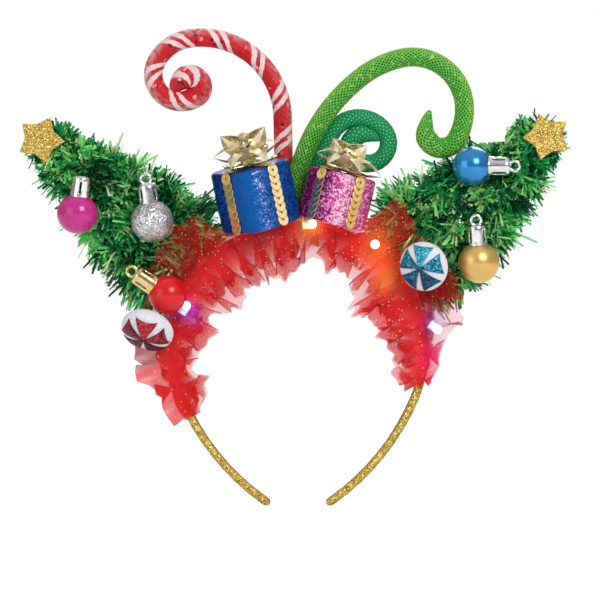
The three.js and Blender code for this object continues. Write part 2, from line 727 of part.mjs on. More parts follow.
function candyPad(extra) {
  const profile = [
    { radius: 0, height: -candy.faceRise - extra },
    { radius: candy.crownRadius, height: -candy.crownRise - extra },
    { radius: candy.edgeRadius + extra, height: -candy.halfEdge - extra },
    { radius: candy.radius + extra, height: 0 },
    { radius: candy.edgeRadius + extra, height: candy.halfEdge + extra },
    { radius: candy.crownRadius, height: candy.crownRise + extra },
    { radius: 0, height: candy.faceRise + extra },
  ];
  return lathe(profile, candy.sides);
}

function candyPetals() {
  const outline = [];
  for (let petal = 0; petal < candy.petals; petal++) {
    const middle = (360 * petal) / candy.petals;
    const next = 360 / candy.petals;
    for (let i = 0; i <= candy.arcSteps; i++) {
      const aside = lerp(-candy.petalHalfAngle, candy.petalHalfAngle, i / candy.arcSteps);
      const angle = rad(middle + aside);
      outline.push(new THREE.Vector2(Math.cos(angle), Math.sin(angle)).multiplyScalar(candy.petalReach));
    }
    const between = rad(middle + next / 2);
    outline.push(new THREE.Vector2(Math.cos(between), Math.sin(between)).multiplyScalar(candy.hubRadius));
  }
  const depth = 2 * candy.radius;
  const wheel = new THREE.ExtrudeGeometry(new THREE.Shape(outline), { depth, bevelEnabled: false });
  const shell = toSolid(candyPad(gap + candy.petalWall)).subtract(toSolid(candyPad(gap)));
  return toGeometry(mainBody(shell.intersect(toSolid(wheel))));
}

for (const place of candies) {
  const petalLook = place.name === "candy_blue" ? looks.tealGlitter : looks.redGlitter;
  add(place.name, candyPad(0).applyMatrix4(candyFrame(place)), looks.white);
  add(`${place.name}_petals`, candyPetals().applyMatrix4(candyFrame(place)), petalLook);
}

// Lamps
for (const place of lamps) {
  const profile = [
    { radius: 0, height: -lamp.length / 2 },
    { radius: lamp.rim, height: -lamp.length / 2 },
    { radius: lamp.rim, height: lamp.rimHeight - lamp.length / 2 },
    { radius: lamp.radius, height: lamp.rimHeight - lamp.length / 2 },
  ];
  for (let i = 0; i <= lamp.domeSteps; i++) {
    const angle = (Math.PI / 2) * (i / lamp.domeSteps);
    const height = lamp.length / 2 - lamp.radius + lamp.radius * Math.sin(angle);
    profile.push({ radius: i < lamp.domeSteps ? lamp.radius * Math.cos(angle) : 0, height });
  }
  add(place.name, aim(lathe(profile, lamp.sides), heading(place.turn, place.nod), place), looks.lampGlow);
}

export default group;
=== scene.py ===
import math

import bmesh
import bpy
import numpy as np
from mathutils import Matrix, Vector


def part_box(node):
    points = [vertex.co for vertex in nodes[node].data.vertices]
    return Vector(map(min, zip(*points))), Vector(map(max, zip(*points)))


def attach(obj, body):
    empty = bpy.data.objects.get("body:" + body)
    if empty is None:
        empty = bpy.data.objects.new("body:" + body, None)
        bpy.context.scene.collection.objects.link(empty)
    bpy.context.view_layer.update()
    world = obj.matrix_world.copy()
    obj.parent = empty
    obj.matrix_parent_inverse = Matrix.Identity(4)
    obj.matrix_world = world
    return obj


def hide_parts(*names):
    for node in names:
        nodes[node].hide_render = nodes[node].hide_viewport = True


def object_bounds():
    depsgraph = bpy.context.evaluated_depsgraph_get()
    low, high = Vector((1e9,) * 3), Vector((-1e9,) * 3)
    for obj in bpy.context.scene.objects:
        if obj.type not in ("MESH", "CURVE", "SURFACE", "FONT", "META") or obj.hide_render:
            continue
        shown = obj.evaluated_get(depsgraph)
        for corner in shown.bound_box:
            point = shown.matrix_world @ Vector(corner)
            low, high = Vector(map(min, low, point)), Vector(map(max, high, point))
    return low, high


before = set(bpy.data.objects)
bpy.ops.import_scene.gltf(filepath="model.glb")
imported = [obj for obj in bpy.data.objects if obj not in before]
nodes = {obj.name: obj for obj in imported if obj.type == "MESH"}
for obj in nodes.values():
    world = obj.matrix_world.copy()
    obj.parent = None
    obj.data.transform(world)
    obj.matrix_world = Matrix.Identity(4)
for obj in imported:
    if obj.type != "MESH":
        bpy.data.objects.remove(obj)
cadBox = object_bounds()
mm = 0.001
print("frame loaded,", len(nodes), "solids")

# the hoop that everything stands on, in millimetres
hoop = {"crownRadius": 62.8, "legRadius": 120, "legStart": 114, "legEnd": 146.5, "crownZ": -60.28,
        "halfWidth": 5.0, "halfThickness": 2.3, "top": 65.4}


def hoopPlaces(angle, out, y):
    # points at an angle from the crown's top, moved outwards from the hoop's centreline
    turn = np.abs(np.radians(angle))
    legTurn = math.radians(hoop["legStart"])
    shift = np.where(turn > legTurn, hoop["legRadius"] - hoop["crownRadius"], 0.0)
    radius = hoop["crownRadius"] + shift + out
    x = np.sign(angle) * (radius * np.sin(turn) - shift * math.sin(legTurn))
    z = hoop["crownZ"] + radius * np.cos(turn) - shift * math.cos(legTurn)
    return np.stack([x, y + 0 * x, z], axis=1) * mm


def ringPlaces(radius, turn, height):
    return np.stack([radius * np.cos(turn), radius * np.sin(turn), height], axis=1)


def heading(turn, nod):
    # direction turned in the front view from +X, nodding towards the front
    flat = math.cos(math.radians(nod))
    turned = math.radians(turn)
    return Vector((flat * math.cos(turned), -math.sin(math.radians(nod)), flat * math.sin(turned)))


def standing(direction, place):
    # matrix that turns +Z to a direction and moves the origin to a place in millimetres
    turn = Vector((0, 0, 1)).rotation_difference(direction)
    return Matrix.Translation(Vector(place) * mm) @ turn.to_matrix().to_4x4()


def rotation(degrees, axis):
    return Matrix.Rotation(math.radians(degrees), 4, axis)


def nodeBox(node):
    # low and high corners of a solid, in millimetres
    return [np.array(corner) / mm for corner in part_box(node)]


def wrapGrid(acrossCount, alongCount, place, closed=False, capped=False):
    # bends a flat grid to a shape given by place(u, v), and welds its seam and ends where asked
    bm = bmesh.new()
    bm.loops.layers.uv.new("uv")
    bmesh.ops.create_grid(bm, x_segments=acrossCount, y_segments=alongCount, size=0.5, calc_uvs=True)
    flat = np.array([vert.co for vert in bm.verts]) + 0.5
    for vert, spot in zip(bm.verts, place(flat[:, 0], flat[:, 1])):
        vert.co = spot
    if closed:
        bmesh.ops.remove_doubles(bm, verts=bm.verts, dist=1e-7)
    if capped:
        rim = [edge for edge in bm.edges if edge.is_boundary]
        bmesh.ops.holes_fill(bm, edges=rim, sides=0)
    if closed or capped:
        bmesh.ops.recalc_face_normals(bm, faces=bm.faces)
    return bm


def lathe(profile, sides):
    # round shape about +Z through (radius, height) rows in millimetres
    rows = np.array(profile) * mm
    steps = np.linspace(0, 1, len(rows))

    def place(u, v):
        radius, height = (np.interp(v, steps, rows[:, column]) for column in (0, 1))
        return ringPlaces(radius, 2 * np.pi * u, height)

    return wrapGrid(sides, len(rows) - 1, place, closed=True)


def joinInto(whole, part):
    # moves a part's faces into a larger bmesh
    mesh = bpy.data.meshes.new("part")
    part.to_mesh(mesh)
    part.free()
    whole.from_mesh(mesh)
    bpy.data.meshes.remove(mesh)


def addPiece(name, mesh, material, replaced=(), slotName=None):
    # a mesh as one piece that rides on the root; a slot name, the material's name unless told, is worked out
    # but not used.
    # Blender adds a number to a name that a loaded solid's material has
    slotName = slotName or material.name.split(".")[0]
    mesh.materials.append(material)
    piece = bpy.data.objects.new(name, mesh)
    bpy.context.scene.collection.objects.link(piece)
    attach(piece, "root")
    if replaced:
        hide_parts(*replaced)
    return piece


def makePiece(name, bm, material, replaced=(), slotName=None, smooth=True):
    mesh = bpy.data.meshes.new(name)
    bm.to_mesh(mesh)
    bm.free()
    mesh.polygons.foreach_set("use_smooth", [smooth] * len(mesh.polygons))
    return addPiece(name, mesh, material, replaced, slotName)


def addSolidify(piece, thickness, offset=0.0):
    wall = piece.modifiers.new("wall", "SOLIDIFY")
    wall.thickness = thickness * mm
    wall.offset = offset
    wall.use_even_offset = False


def writeValues(piece, key, values):
    # a number at each point, which a material reads by its name
    piece.data.attributes.new(key, "FLOAT", "POINT").data.foreach_set("value", values)


# shared shader helpers and node groups


def addNode(tree, kind, **settings):
    node = tree.nodes.new(kind)
    for key, value in settings.items():
        setattr(node, key, value)
    return node


def feed(tree, socket, value):
    # a number or colour sets the socket, and another node's output is linked to it
    if isinstance(value, (int, float)):
        socket.default_value = value
    elif isinstance(value, tuple):
        socket.default_value = (*value, 1)
    else:
        tree.links.new(value, socket)


def mathNode(tree, operation, *values):
    node = addNode(tree, "ShaderNodeMath", operation=operation)
    for socket, value in zip(node.inputs, values):
        feed(tree, socket, value)
    return node.outputs[0]


def greys(*stops):
    return [(position, (level, level, level)) for position, level in stops]


def rampNode(tree, factor, stops):
    ramp = addNode(tree, "ShaderNodeValToRGB")
    ramp.color_ramp.elements[0].position = stops[0][0]
    ramp.color_ramp.elements[1].position = stops[-1][0]
    for position, _ in stops[1:-1]:
        ramp.color_ramp.elements.new(position)
    for element, (_, colour) in zip(ramp.color_ramp.elements, stops):
        element.color = (*colour, 1)
    tree.links.new(factor, ramp.inputs["Fac"])
    return ramp.outputs["Color"]


def mixColours(tree, factor, first, second):
    mix = addNode(tree, "ShaderNodeMix", data_type="RGBA")
    for socket, value in ((mix.inputs["Factor"], factor), (mix.inputs[6], first), (mix.inputs[7], second)):
        feed(tree, socket, value)
    return mix.outputs[2]


def coordinates(tree, kind):
    return addNode(tree, "ShaderNodeTexCoord").outputs[kind]


def splitAxes(tree, kind):
    axes = addNode(tree, "ShaderNodeSeparateXYZ")
    tree.links.new(coordinates(tree, kind), axes.inputs[0])
    return axes.outputs


def readValue(tree, name):
    return addNode(tree, "ShaderNodeAttribute", attribute_name=name).outputs["Fac"]


def newGroup(name, inputs, outputs):
    # a group with number inputs, and number outputs unless one is a normal
    group = bpy.data.node_groups.new(name, "ShaderNodeTree")
    for label, value in inputs.items():
        socket = group.interface.new_socket(label, in_out="INPUT", socket_type="NodeSocketFloat")
        socket.default_value = value
    for label in outputs:
        kind = "NodeSocketVector" if label == "Normal" else "NodeSocketFloat"
        group.interface.new_socket(label, in_out="OUTPUT", socket_type=kind)
    return group, addNode(group, "NodeGroupInput").outputs, addNode(group, "NodeGroupOutput").inputs


def makeFlakes():
    # glitter: flat flakes in random tilts, each with a random value
    group, start, end = newGroup("flakes", {"Scale": 2000, "Tilt": 0.5}, ("Flake", "Normal"))
    cells = addNode(group, "ShaderNodeTexVoronoi")
    group.links.new(coordinates(group, "Object"), cells.inputs["Vector"])
    group.links.new(start["Scale"], cells.inputs["Scale"])
    parts = addNode(group, "ShaderNodeSeparateColor")
    group.links.new(cells.outputs["Color"], parts.inputs[0])
    group.links.new(parts.outputs[0], end["Flake"])
    centred = addNode(group, "ShaderNodeVectorMath", operation="SUBTRACT")
    centred.inputs[1].default_value = (0.5, 0.5, 0.5)
    group.links.new(cells.outputs["Color"], centred.inputs[0])
    tilted = addNode(group, "ShaderNodeVectorMath", operation="SCALE")
    group.links.new(centred.outputs[0], tilted.inputs[0])
    group.links.new(start["Tilt"], tilted.inputs["Scale"])
    surface = addNode(group, "ShaderNodeNewGeometry")
    summed = addNode(group, "ShaderNodeVectorMath", operation="ADD")
    group.links.new(surface.outputs["Normal"], summed.inputs[0])
    group.links.new(tilted.outputs[0], summed.inputs[1])
    unit = addNode(group, "ShaderNodeVectorMath", operation="NORMALIZE")
    group.links.new(summed.outputs[0], unit.inputs[0])
    group.links.new(unit.outputs[0], end["Normal"])
    return group


def makeCrinkle():
    # soft dents and fine creases of film and foil, as a height
    group, start, end = newGroup("crinkle", {"Scale": 120, "Sharpness": 0.5}, ("Height", "Patches"))
    spots = coordinates(group, "Object")
    soft = addNode(group, "ShaderNodeTexNoise")
    soft.inputs["Detail"].default_value = 4
    folds = addNode(group, "ShaderNodeTexVoronoi", feature="DISTANCE_TO_EDGE")
    for texture in (soft, folds):
        group.links.new(spots, texture.inputs["Vector"])
        group.links.new(start["Scale"], texture.inputs["Scale"])
    crease = mathNode(group, "MULTIPLY", folds.outputs["Distance"], start["Sharpness"])
    group.links.new(mathNode(group, "ADD", crease, soft.outputs["Fac"]), end["Height"])
    group.links.new(soft.outputs["Fac"], end["Patches"])
    return group


def makeBraid():
    # two crossing families of strands wound round a tube, on its own UV map
    group, start, end = newGroup("braid", {"Around": 16, "Along": 100}, ("Strand",))
    axes = splitAxes(group, "UV")
    around = mathNode(group, "MULTIPLY", axes["X"], start["Around"])
    along = mathNode(group, "MULTIPLY", axes["Y"], start["Along"])
    ridges = []
    for operation in ("ADD", "SUBTRACT"):
        phase = mathNode(group, "MULTIPLY", mathNode(group, operation, around, along), 2 * math.pi)
        ridges.append(mathNode(group, "MULTIPLY_ADD", mathNode(group, "COSINE", phase), 0.5, 0.5))
    group.links.new(mathNode(group, "MAXIMUM", *ridges), end["Strand"])
    return group


def makeNet():
    # fine net of a sheer cloth on its own UV map, with loose specks and a slow drift of tone
    group, start, end = newGroup("net", {"Across": 60, "Along": 600, "Specks": 90, "Share": 0.1, "Drift": 70},
                                 ("Thread", "Speck", "Drift"))
    axes = splitAxes(group, "UV")
    across = mathNode(group, "MULTIPLY", axes["Y"], start["Across"])
    along = mathNode(group, "MULTIPLY", axes["X"], start["Along"])
    waves = []
    for operation in ("ADD", "SUBTRACT"):
        phase = mathNode(group, "MULTIPLY", mathNode(group, operation, along, across), math.pi)
        waves.append(mathNode(group, "ABSOLUTE", mathNode(group, "SINE", phase)))
    group.links.new(mathNode(group, "SUBTRACT", 1.0, mathNode(group, "MULTIPLY", *waves)), end["Thread"])
    cells = addNode(group, "ShaderNodeTexVoronoi")
    drift = addNode(group, "ShaderNodeTexNoise")
    for texture, scale in ((cells, "Specks"), (drift, "Drift")):
        group.links.new(coordinates(group, "Object"), texture.inputs["Vector"])
        group.links.new(start[scale], texture.inputs["Scale"])
    parts = addNode(group, "ShaderNodeSeparateColor")
    group.links.new(cells.outputs["Color"], parts.inputs[0])
    some = mathNode(group, "LESS_THAN", parts.outputs[0], 0.4)  # the share of cells that hold a speck
    near = mathNode(group, "LESS_THAN", cells.outputs["Distance"], start["Share"])
    group.links.new(mathNode(group, "MULTIPLY", near, some), end["Speck"])
    group.links.new(drift.outputs["Fac"], end["Drift"])
    return group


flakesGroup = makeFlakes()
crinkleGroup = makeCrinkle()
braidGroup = makeBraid()
netGroup = makeNet()


def useGroup(tree, group, **values):
    node = addNode(tree, "ShaderNodeGroup", node_tree=group)
    for label, value in values.items():
        node.inputs[label].default_value = value
    return node.outputs


def newMaterial(name, **values):
    # a material whose steady values sit on the shader's own sockets
    material = bpy.data.materials.new(name)
    material.use_nodes = True
    tree = material.node_tree
    shader = tree.nodes["Principled BSDF"].inputs
    for label, value in values.items():
        shader[label].default_value = value
    return material, tree, shader


def colourBy(tree, shader, factor, stops):
    tree.links.new(rampNode(tree, factor, stops), shader["Base Color"])


def addBump(tree, shader, height, strength, distance):
    bump = addNode(tree, "ShaderNodeBump")
    bump.inputs["Strength"].default_value = strength
    bump.inputs["Distance"].default_value = distance * mm
    tree.links.new(height, bump.inputs["Height"])
    tree.links.new(bump.outputs["Normal"], shader["Normal"])


def glitterMaterial(name, stops, scale, tilt, shadeName=None, **values):
    # flakes in a range of tones, lighter or darker by a painted light and shade value at each point where one
    # is named
    material, tree, shader = newMaterial(name, **values)
    flakes = useGroup(tree, flakesGroup, Scale=scale, Tilt=tilt)
    tone = flakes["Flake"]
    if shadeName:
        tone = mathNode(tree, "ADD", tone, readValue(tree, shadeName))
    colourBy(tree, shader, tone, stops)
    tree.links.new(flakes["Normal"], shader["Normal"])
    return material


def foilMaterial(name, stops, scale, strength, distance, sharpness=0.8, **values):
    material, tree, shader = newMaterial(name, **values)
    crinkle = useGroup(tree, crinkleGroup, Scale=scale, Sharpness=sharpness)
    colourBy(tree, shader, crinkle["Patches"], stops)
    addBump(tree, shader, crinkle["Height"], strength, distance)
    return material


def smoothMaterial(name, stops, scale, swing=0.6, least=0.7, **values):
    # even paint with faint clouding, and a roughness that follows it
    material, tree, shader = newMaterial(name, **values)
    clouds = useGroup(tree, crinkleGroup, Scale=scale, Sharpness=0.0)["Patches"]
    colourBy(tree, shader, clouds, stops)
    steady = values["Roughness"]
    rough = mathNode(tree, "MULTIPLY_ADD", clouds, swing * steady, least * steady)
    tree.links.new(rough, shader["Roughness"])
    return material


goldStops = [(0.0, (0.20, 0.11, 0.012)), (0.45, (0.52, 0.34, 0.06)), (0.8, (0.72, 0.5, 0.11)),
             (1.0, (0.97, 0.8, 0.32))]
print("shader groups ready")

# camera and light first: a long lens straight from the front, 300 mm across the picture

view = {"distance": 3.0, "across": 0.3, "x": 0.00085, "z": -0.035, "sensor": 36, "clip": 50}
camera = bpy.data.objects.new("camera", bpy.data.cameras.new("camera"))
camera.data.sensor_width = view["sensor"]
camera.data.lens = view["sensor"] * view["distance"] / view["across"]
camera.data.clip_end = view["clip"]
camera.location = (view["x"], -view["distance"], view["z"])
camera.rotation_euler = (math.pi / 2, 0, 0)
bpy.context.scene.collection.objects.link(camera)
bpy.context.scene.camera = camera
bpy.context.scene.view_settings.view_transform = "Standard"

lightAim = Vector((0, 0, -0.02))
softboxes = [
    {"name": "key", "place": (0.75, -1.35, 0.85), "size": 0.75, "power": 15, "colour": (1, 0.98, 0.95)},
    {"name": "fill", "place": (-1.3, -1.2, 0.35), "size": 1.2, "power": 6, "colour": (0.96, 0.98, 1)},
    {"name": "rim", "place": (0.1, 1.3, 1.0), "size": 1.2, "power": 9, "colour": (1, 1, 1)},
]
for box in softboxes:
    light = bpy.data.lights.new(box["name"], "AREA")
    light.size = box["size"]
    light.energy = box["power"]
    light.color = box["colour"]
    holder = bpy.data.objects.new(box["name"], light)
    holder.location = box["place"]
    holder.rotation_euler = (lightAim - holder.location).to_track_quat("-Z", "Y").to_euler()
    bpy.context.scene.collection.objects.link(holder)

studio = {"behind": (1, 1, 1),
          "sky": [(0.0, (0.3, 0.3, 0.3)), (0.45, (0.2, 0.2, 0.21)), (0.62, (0.3, 0.3, 0.31)),
                  (1.0, (0.7, 0.7, 0.7))]}


def makeWorld():
    # white behind the object, and a softer grey to pale sky that lights it
    world = bpy.data.worlds.new("studio")
    bpy.context.scene.world = world
    world.use_nodes = True
    tree = world.node_tree
    height = mathNode(tree, "MULTIPLY_ADD", splitAxes(tree, "Generated")["Z"], 0.5, 0.5)
    seen = addNode(tree, "ShaderNodeLightPath").outputs["Is Camera Ray"]
    shown = mixColours(tree, seen, rampNode(tree, height, studio["sky"]), studio["behind"])
    tree.links.new(shown, tree.nodes["Background"].inputs["Color"])


makeWorld()

ground = {"half": 6.0, "below": 0.0004, "grain": 3, "tones": greys((0.0, 0.93), (1.0, 0.96)),
          "lit": (0.05, 0.05, 0.05), "seen": (0.72, 0.72, 0.72)}


def makeFloor():
    material, tree, shader = newMaterial("pale_floor", **{"Roughness": 0.9, "Specular IOR Level": 0.1,
                                                          "Emission Strength": 1.0})
    seen = addNode(tree, "ShaderNodeLightPath").outputs["Is Camera Ray"]
    tree.links.new(mixColours(tree, seen, ground["lit"], ground["seen"]), shader["Emission Color"])
    noise = addNode(tree, "ShaderNodeTexNoise")
    noise.inputs["Scale"].default_value = ground["grain"]
    colourBy(tree, shader, noise.outputs["Fac"], ground["tones"])
    bm = bmesh.new()
    bmesh.ops.create_grid(bm, x_segments=4, y_segments=4, size=ground["half"])
    bmesh.ops.translate(bm, verts=bm.verts, vec=(0, 0, cadBox[0].z - ground["below"]))
    mesh = bpy.data.meshes.new("floor")
    bm.to_mesh(mesh)
    bm.free()
    mesh.materials.append(material)
    floor = bpy.data.objects.new("floor", mesh)
    bpy.context.scene.collection.objects.link(floor)


makeFloor()
print("camera, light and floor ready")

# band: a hoop wound with glitter ribbon

wrap = {"turns": 74, "edge": 0.16, "around": 40, "along": 560, "tip": 1.6, "tipLeast": 0.02,
        "squareness": 0.55, "flakes": 2300, "tilt": 0.7}


def squared(swing):
    # a sine or cosine whose swing is flattened, so that a round section turns squarer
    return np.sign(swing) * np.abs(swing) ** wrap["squareness"]


def makeBand():
    def place(u, v):
        angle = (2 * v - 1) * hoop["legEnd"]
        left = (hoop["legEnd"] - np.abs(angle)) / wrap["tip"]
        share = np.sqrt(np.clip(1 - (1 - np.clip(left, 0, 1)) ** 2, wrap["tipLeast"], 1))
        turn = 2 * np.pi * u
        lap = wrap["edge"] * ((v * wrap["turns"] + u) % 1.0 - 0.5)
        y = (hoop["halfWidth"] + lap) * share * squared(np.cos(turn))
        out = (hoop["halfThickness"] + lap) * share * squared(np.sin(turn))
        return hoopPlaces(angle, out, y)

    material = glitterMaterial("gold_wrap", goldStops, wrap["flakes"], wrap["tilt"],
                               Metallic=0.7, Roughness=0.42)
    bm = wrapGrid(wrap["around"], wrap["along"], place, closed=True, capped=True)
    makePiece("band_wrap", bm, material, ["band"])


makeBand()
print("band done")

# ruffle: two strips of sheer red net, pleated and gathered on the band's front

lampGlows = [  # the lamps' light in the net: colour, reach and a shift of its middle
    {"node": "led_1", "colour": (1.0, 0.5, 0.06), "reach": 5.5, "shift": (0, 0, -1)},
    {"node": "led_2", "colour": (1.0, 0.5, 0.06), "reach": 5.5, "shift": (0, 0, 0)},
    {"node": "led_2", "colour": (0.95, 0.12, 0.015), "reach": 9, "shift": (2, 0, -5)},
    {"node": "led_2", "colour": (1.0, 0.4, 0.03), "reach": 6.5, "shift": (5, 0, -17)},
    {"node": "led_3", "colour": (0.26, 0.08, 0.7), "reach": 5, "shift": (0, 0, 0)},
    {"node": "led_3", "colour": (0.5, 0.02, 0.42), "reach": 5, "shift": (4, 0, -3)},
    {"node": "led_4", "colour": (0.24, 0.06, 0.55), "reach": 5.5, "shift": (0, 0, 1)},
    {"node": "led_4", "colour": (0.8, 0.03, 0.35), "reach": 5, "shift": (7, 0, 4)},
    {"node": "led_4", "colour": (0.85, 0.012, 0.26), "reach": 9, "shift": (4, 0, -15)},
]
ruffle = {
    "seamY": -6.9, "panelSteps": 8, "rows": 26, "thickness": 0.12,
    "start": -117.2, "station": 2.0, "window": 2.6,  # degrees along the hoop
    "giftLeans": (-12, 14), "giftSpan": (-32, 29), "underGift": 1.3,
    "besideGift": {"angle": 34, "spread": 7, "lift": 7},
    # inner half and outer half
    "folds": (1.1, 0.8), "flares": (3.0, 4.2), "lengths": ((0.98, 1.17), (0.88, 1.08)),
    "panel": 0.72, "wander": 0.34, "creaseWander": 0.08, "frayed": 0.012, "fanPower": 0.8, "endRoom": 0.6,
    "overrun": 0.004, "shortest": 0.86, "fullReach": 10, "flarePower": 1.2, "seamWave": 0.35,
    "leastWave": 0.15, "crumple": 0.352, "crumpleLength": 11.0, "crumpleWaves": 9,
}
strips = [
    {"name": "ruffle_tulle", "pleats": 18, "fold": (1.5, 2.2), "reach": 1.0, "outer": 1.0, "shift": 0.0,
     "depth": 2.4, "seed": 3, "flat": (0.042, 0.36), "replaced": ["ruffle"]},
    {"name": "ruffle_under", "pleats": 23, "fold": (1.4, 2.0), "reach": 0.66, "outer": 0.36, "shift": 0.7,
     "depth": 1.0, "seed": 8, "flat": (0.022, 0.36), "replaced": []},
]
veil = {  # how sheer, shaded and creased the net is, with pairs for the left and right legs
    "innerSheer": 0.86, "outerSheer": 1.9, "fullReach": 12, "least": 0.2,
    "legSheer": (0.3, 0.66), "treeEnd": (86, 100), "treeFade": 12,
    "streaks": 5.2, "streakSlant": 4, "streakLeast": -0.6, "streakSheer": 0.22,
    "shadeSpan": (30, 98), "shadeFade": 14, "shade": 0.8, "shadeRise": 1.5, "shadeSeam": 0.3,
    "creaseWidth": 0.02, "creaseRise": 3, "creaseSeam": 0.5,
}
tulleInk = {
    "red": [(0.3, (0.74, 0.008, 0.012)), (0.7, (0.9, 0.02, 0.024))], "shaded": (0.3, 0.003, 0.004),
    # crease: darker red along the folds, partly the denser net of the fold and partly painted shade
    "crease": (0.45, 0.002, 0.006), "speck": (0.95, 0.62, 0.2), "glowShare": 0.75, "creaseShare": 0.6,
    "creaseLine": greys((0.5, 0), (0.85, 1)), "creaseCover": 0.55, "threadSwing": 0.5, "threadLeast": 0.68,
    "cover": greys((0.0, 0.76), (0.3, 0.62), (0.5, 0.42), (0.7, 0.29), (0.86, 0.24), (1.0, 0.16)),
}


def ruffleReach():
    # angle and inner and outer reach of the solid's folds, read from the frame
    spots = np.array([vert.co for vert in nodes["ruffle"].data.vertices]) / mm
    spots[:, 2] -= hoop["crownZ"]
    angle = np.round(np.degrees(np.arctan2(spots[:, 0], spots[:, 2])), 1)
    radius = np.hypot(spots[:, 0], spots[:, 2]) - hoop["crownRadius"]
    stations = np.arange(ruffle["start"], angle.max() + 0.1, ruffle["station"])
    near = [np.abs(angle - station) < ruffle["window"] for station in stations]
    inner = np.array([radius[rows].min() for rows in near])
    outer = np.array([radius[rows].max() for rows in near])
    low, high = ruffle["giftSpan"]
    leans = np.radians(stations[:, None] - np.array(ruffle["giftLeans"]))
    under = (hoop["top"] / np.cos(leans)).min(axis=1) - hoop["crownRadius"] + ruffle["underGift"]
    outer = np.where((stations > low) & (stations < high) & (outer < under), under, outer)
    beside = ruffle["besideGift"]
    outer = outer + beside["lift"] * np.exp(-(((stations - beside["angle"]) / beside["spread"]) ** 2))
    return stations, inner, outer


def glowAt(spots):
    # colour and amount of lamp light that shows in the net at each point
    tint = np.zeros((len(spots), 3))
    amount = np.zeros(len(spots))
    for glow in lampGlows:
        low, high = nodeBox(glow["node"])
        distance = np.linalg.norm(spots / mm - (low + high) / 2 - np.array(glow["shift"]), axis=1)
        share = np.exp(-((distance / glow["reach"]) ** 2))
        tint += share[:, None] * np.array(glow["colour"])
        amount += share
    tint /= np.maximum(amount, 1e-6)[:, None]
    return np.concatenate([tint, np.clip(amount, 0, 1)[:, None]], axis=1)


def tulleMaterial():
    ink = tulleInk
    material, tree, shader = newMaterial("red_tulle", **{"Roughness": 0.6, "Sheen Weight": 0.04,
                                                         "Specular IOR Level": 0.2, "Emission Strength": 0.3})
    net = useGroup(tree, netGroup, Across=42, Along=520, Specks=600, Share=0.17, Drift=70)
    glow = addNode(tree, "ShaderNodeAttribute", attribute_name="lampGlow").outputs
    red = rampNode(tree, net["Drift"], ink["red"])
    shaded = mixColours(tree, readValue(tree, "shade"), red, ink["shaded"])
    lit = mathNode(tree, "MULTIPLY", glow["Alpha"], ink["glowShare"])
    tinted = mixColours(tree, lit, shaded, glow["Color"])
    # the creases get denser net and a painted shade
    line = rampNode(tree, readValue(tree, "crease"), ink["creaseLine"])
    folded = mixColours(tree, mathNode(tree, "MULTIPLY", line, ink["creaseShare"]), tinted, ink["crease"])
    tree.links.new(mixColours(tree, net["Speck"], folded, ink["speck"]), shader["Base Color"])
    tree.links.new(mixColours(tree, lit, (0, 0, 0), glow["Color"]), shader["Emission Color"])
    tree.links.new(net["Speck"], shader["Metallic"])
    thread = mathNode(tree, "MULTIPLY_ADD", net["Thread"], ink["threadSwing"], ink["threadLeast"])
    cover = mathNode(tree, "MULTIPLY", rampNode(tree, readValue(tree, "free"), ink["cover"]), thread)
    cover = mathNode(tree, "MAXIMUM", cover, mathNode(tree, "MULTIPLY", line, ink["creaseCover"]))
    tree.links.new(mathNode(tree, "MAXIMUM", cover, net["Speck"]), shader["Alpha"])
    return material


def veilValues(at, side, angle, edge):
    # values at each point of a strip: free of other layers, in the trees' shade, and on a crease, where the
    # denser net of the fold and a painted shade make it darker
    reach, away, onLeft = np.abs(side), np.abs(angle), angle < 0
    streaks = np.sin(veil["streaks"] * np.pi * at + veil["streakSlant"] * reach)
    streaks = np.clip(streaks, veil["streakLeast"], 1)
    thin = np.where(onLeft, *veil["legSheer"]) + veil["streakSheer"] * streaks
    onTree = np.clip((np.where(onLeft, *veil["treeEnd"]) - away) / veil["treeFade"], 0, 1)
    outer = veil["outerSheer"] * reach - (veil["outerSheer"] - 1) * reach ** 2
    sheer = np.where(side > 0, outer * (thin + (1 - thin) * onTree), veil["innerSheer"] * reach)
    free = np.clip(sheer * np.clip(edge / veil["fullReach"], veil["least"], 1), 0, 1)
    first, last = veil["shadeSpan"]
    entered, left = (away - first) / veil["shadeFade"], (last - away) / veil["shadeFade"]
    overTree = np.clip(entered, 0, 1) * np.clip(left, 0, 1)
    shade = veil["shade"] * overTree * np.clip(veil["shadeRise"] * side + veil["shadeSeam"], 0, 1)
    onCrease = np.abs(at - np.round(at)) < veil["creaseWidth"]
    crease = onCrease * np.clip(veil["creaseRise"] * reach - veil["creaseSeam"], 0, 1)
    return {"free": free, "crease": crease, "shade": shade}


def planCreases(strip, rng):
    # for the inner and outer half: where each crease is gathered and opens to, its side of the fold
    # and its length
    pleats = strip["pleats"]
    creases = 2 * pleats + 1
    front = np.arange(creases) % 2 == 1
    order = np.arange(creases) // 2
    fold = rng.uniform(*strip["fold"], pleats + 1)[order]
    fan = 0.5 * (np.stack([fold * share for share in ruffle["folds"]]) - ruffle["panel"])
    wander = rng.uniform(-ruffle["wander"], ruffle["wander"], (2, pleats + 1))[:, order]
    wander = wander + rng.uniform(-ruffle["creaseWander"], ruffle["creaseWander"], (2, creases))
    length = np.stack([rng.uniform(*span, pleats + 1)[order] for span in ruffle["lengths"]])
    length = length + rng.uniform(-ruffle["frayed"], ruffle["frayed"], (2, creases))
    gathered = np.stack([order + np.where(front, ruffle["panel"], 0.0)] * 2)
    opened = order + np.where(front, ruffle["panel"] + fan, -fan) + wander
    zigzag = np.stack([np.where(front, -1.0, 1.0)] * 2)
    return gathered, opened, zigzag, length


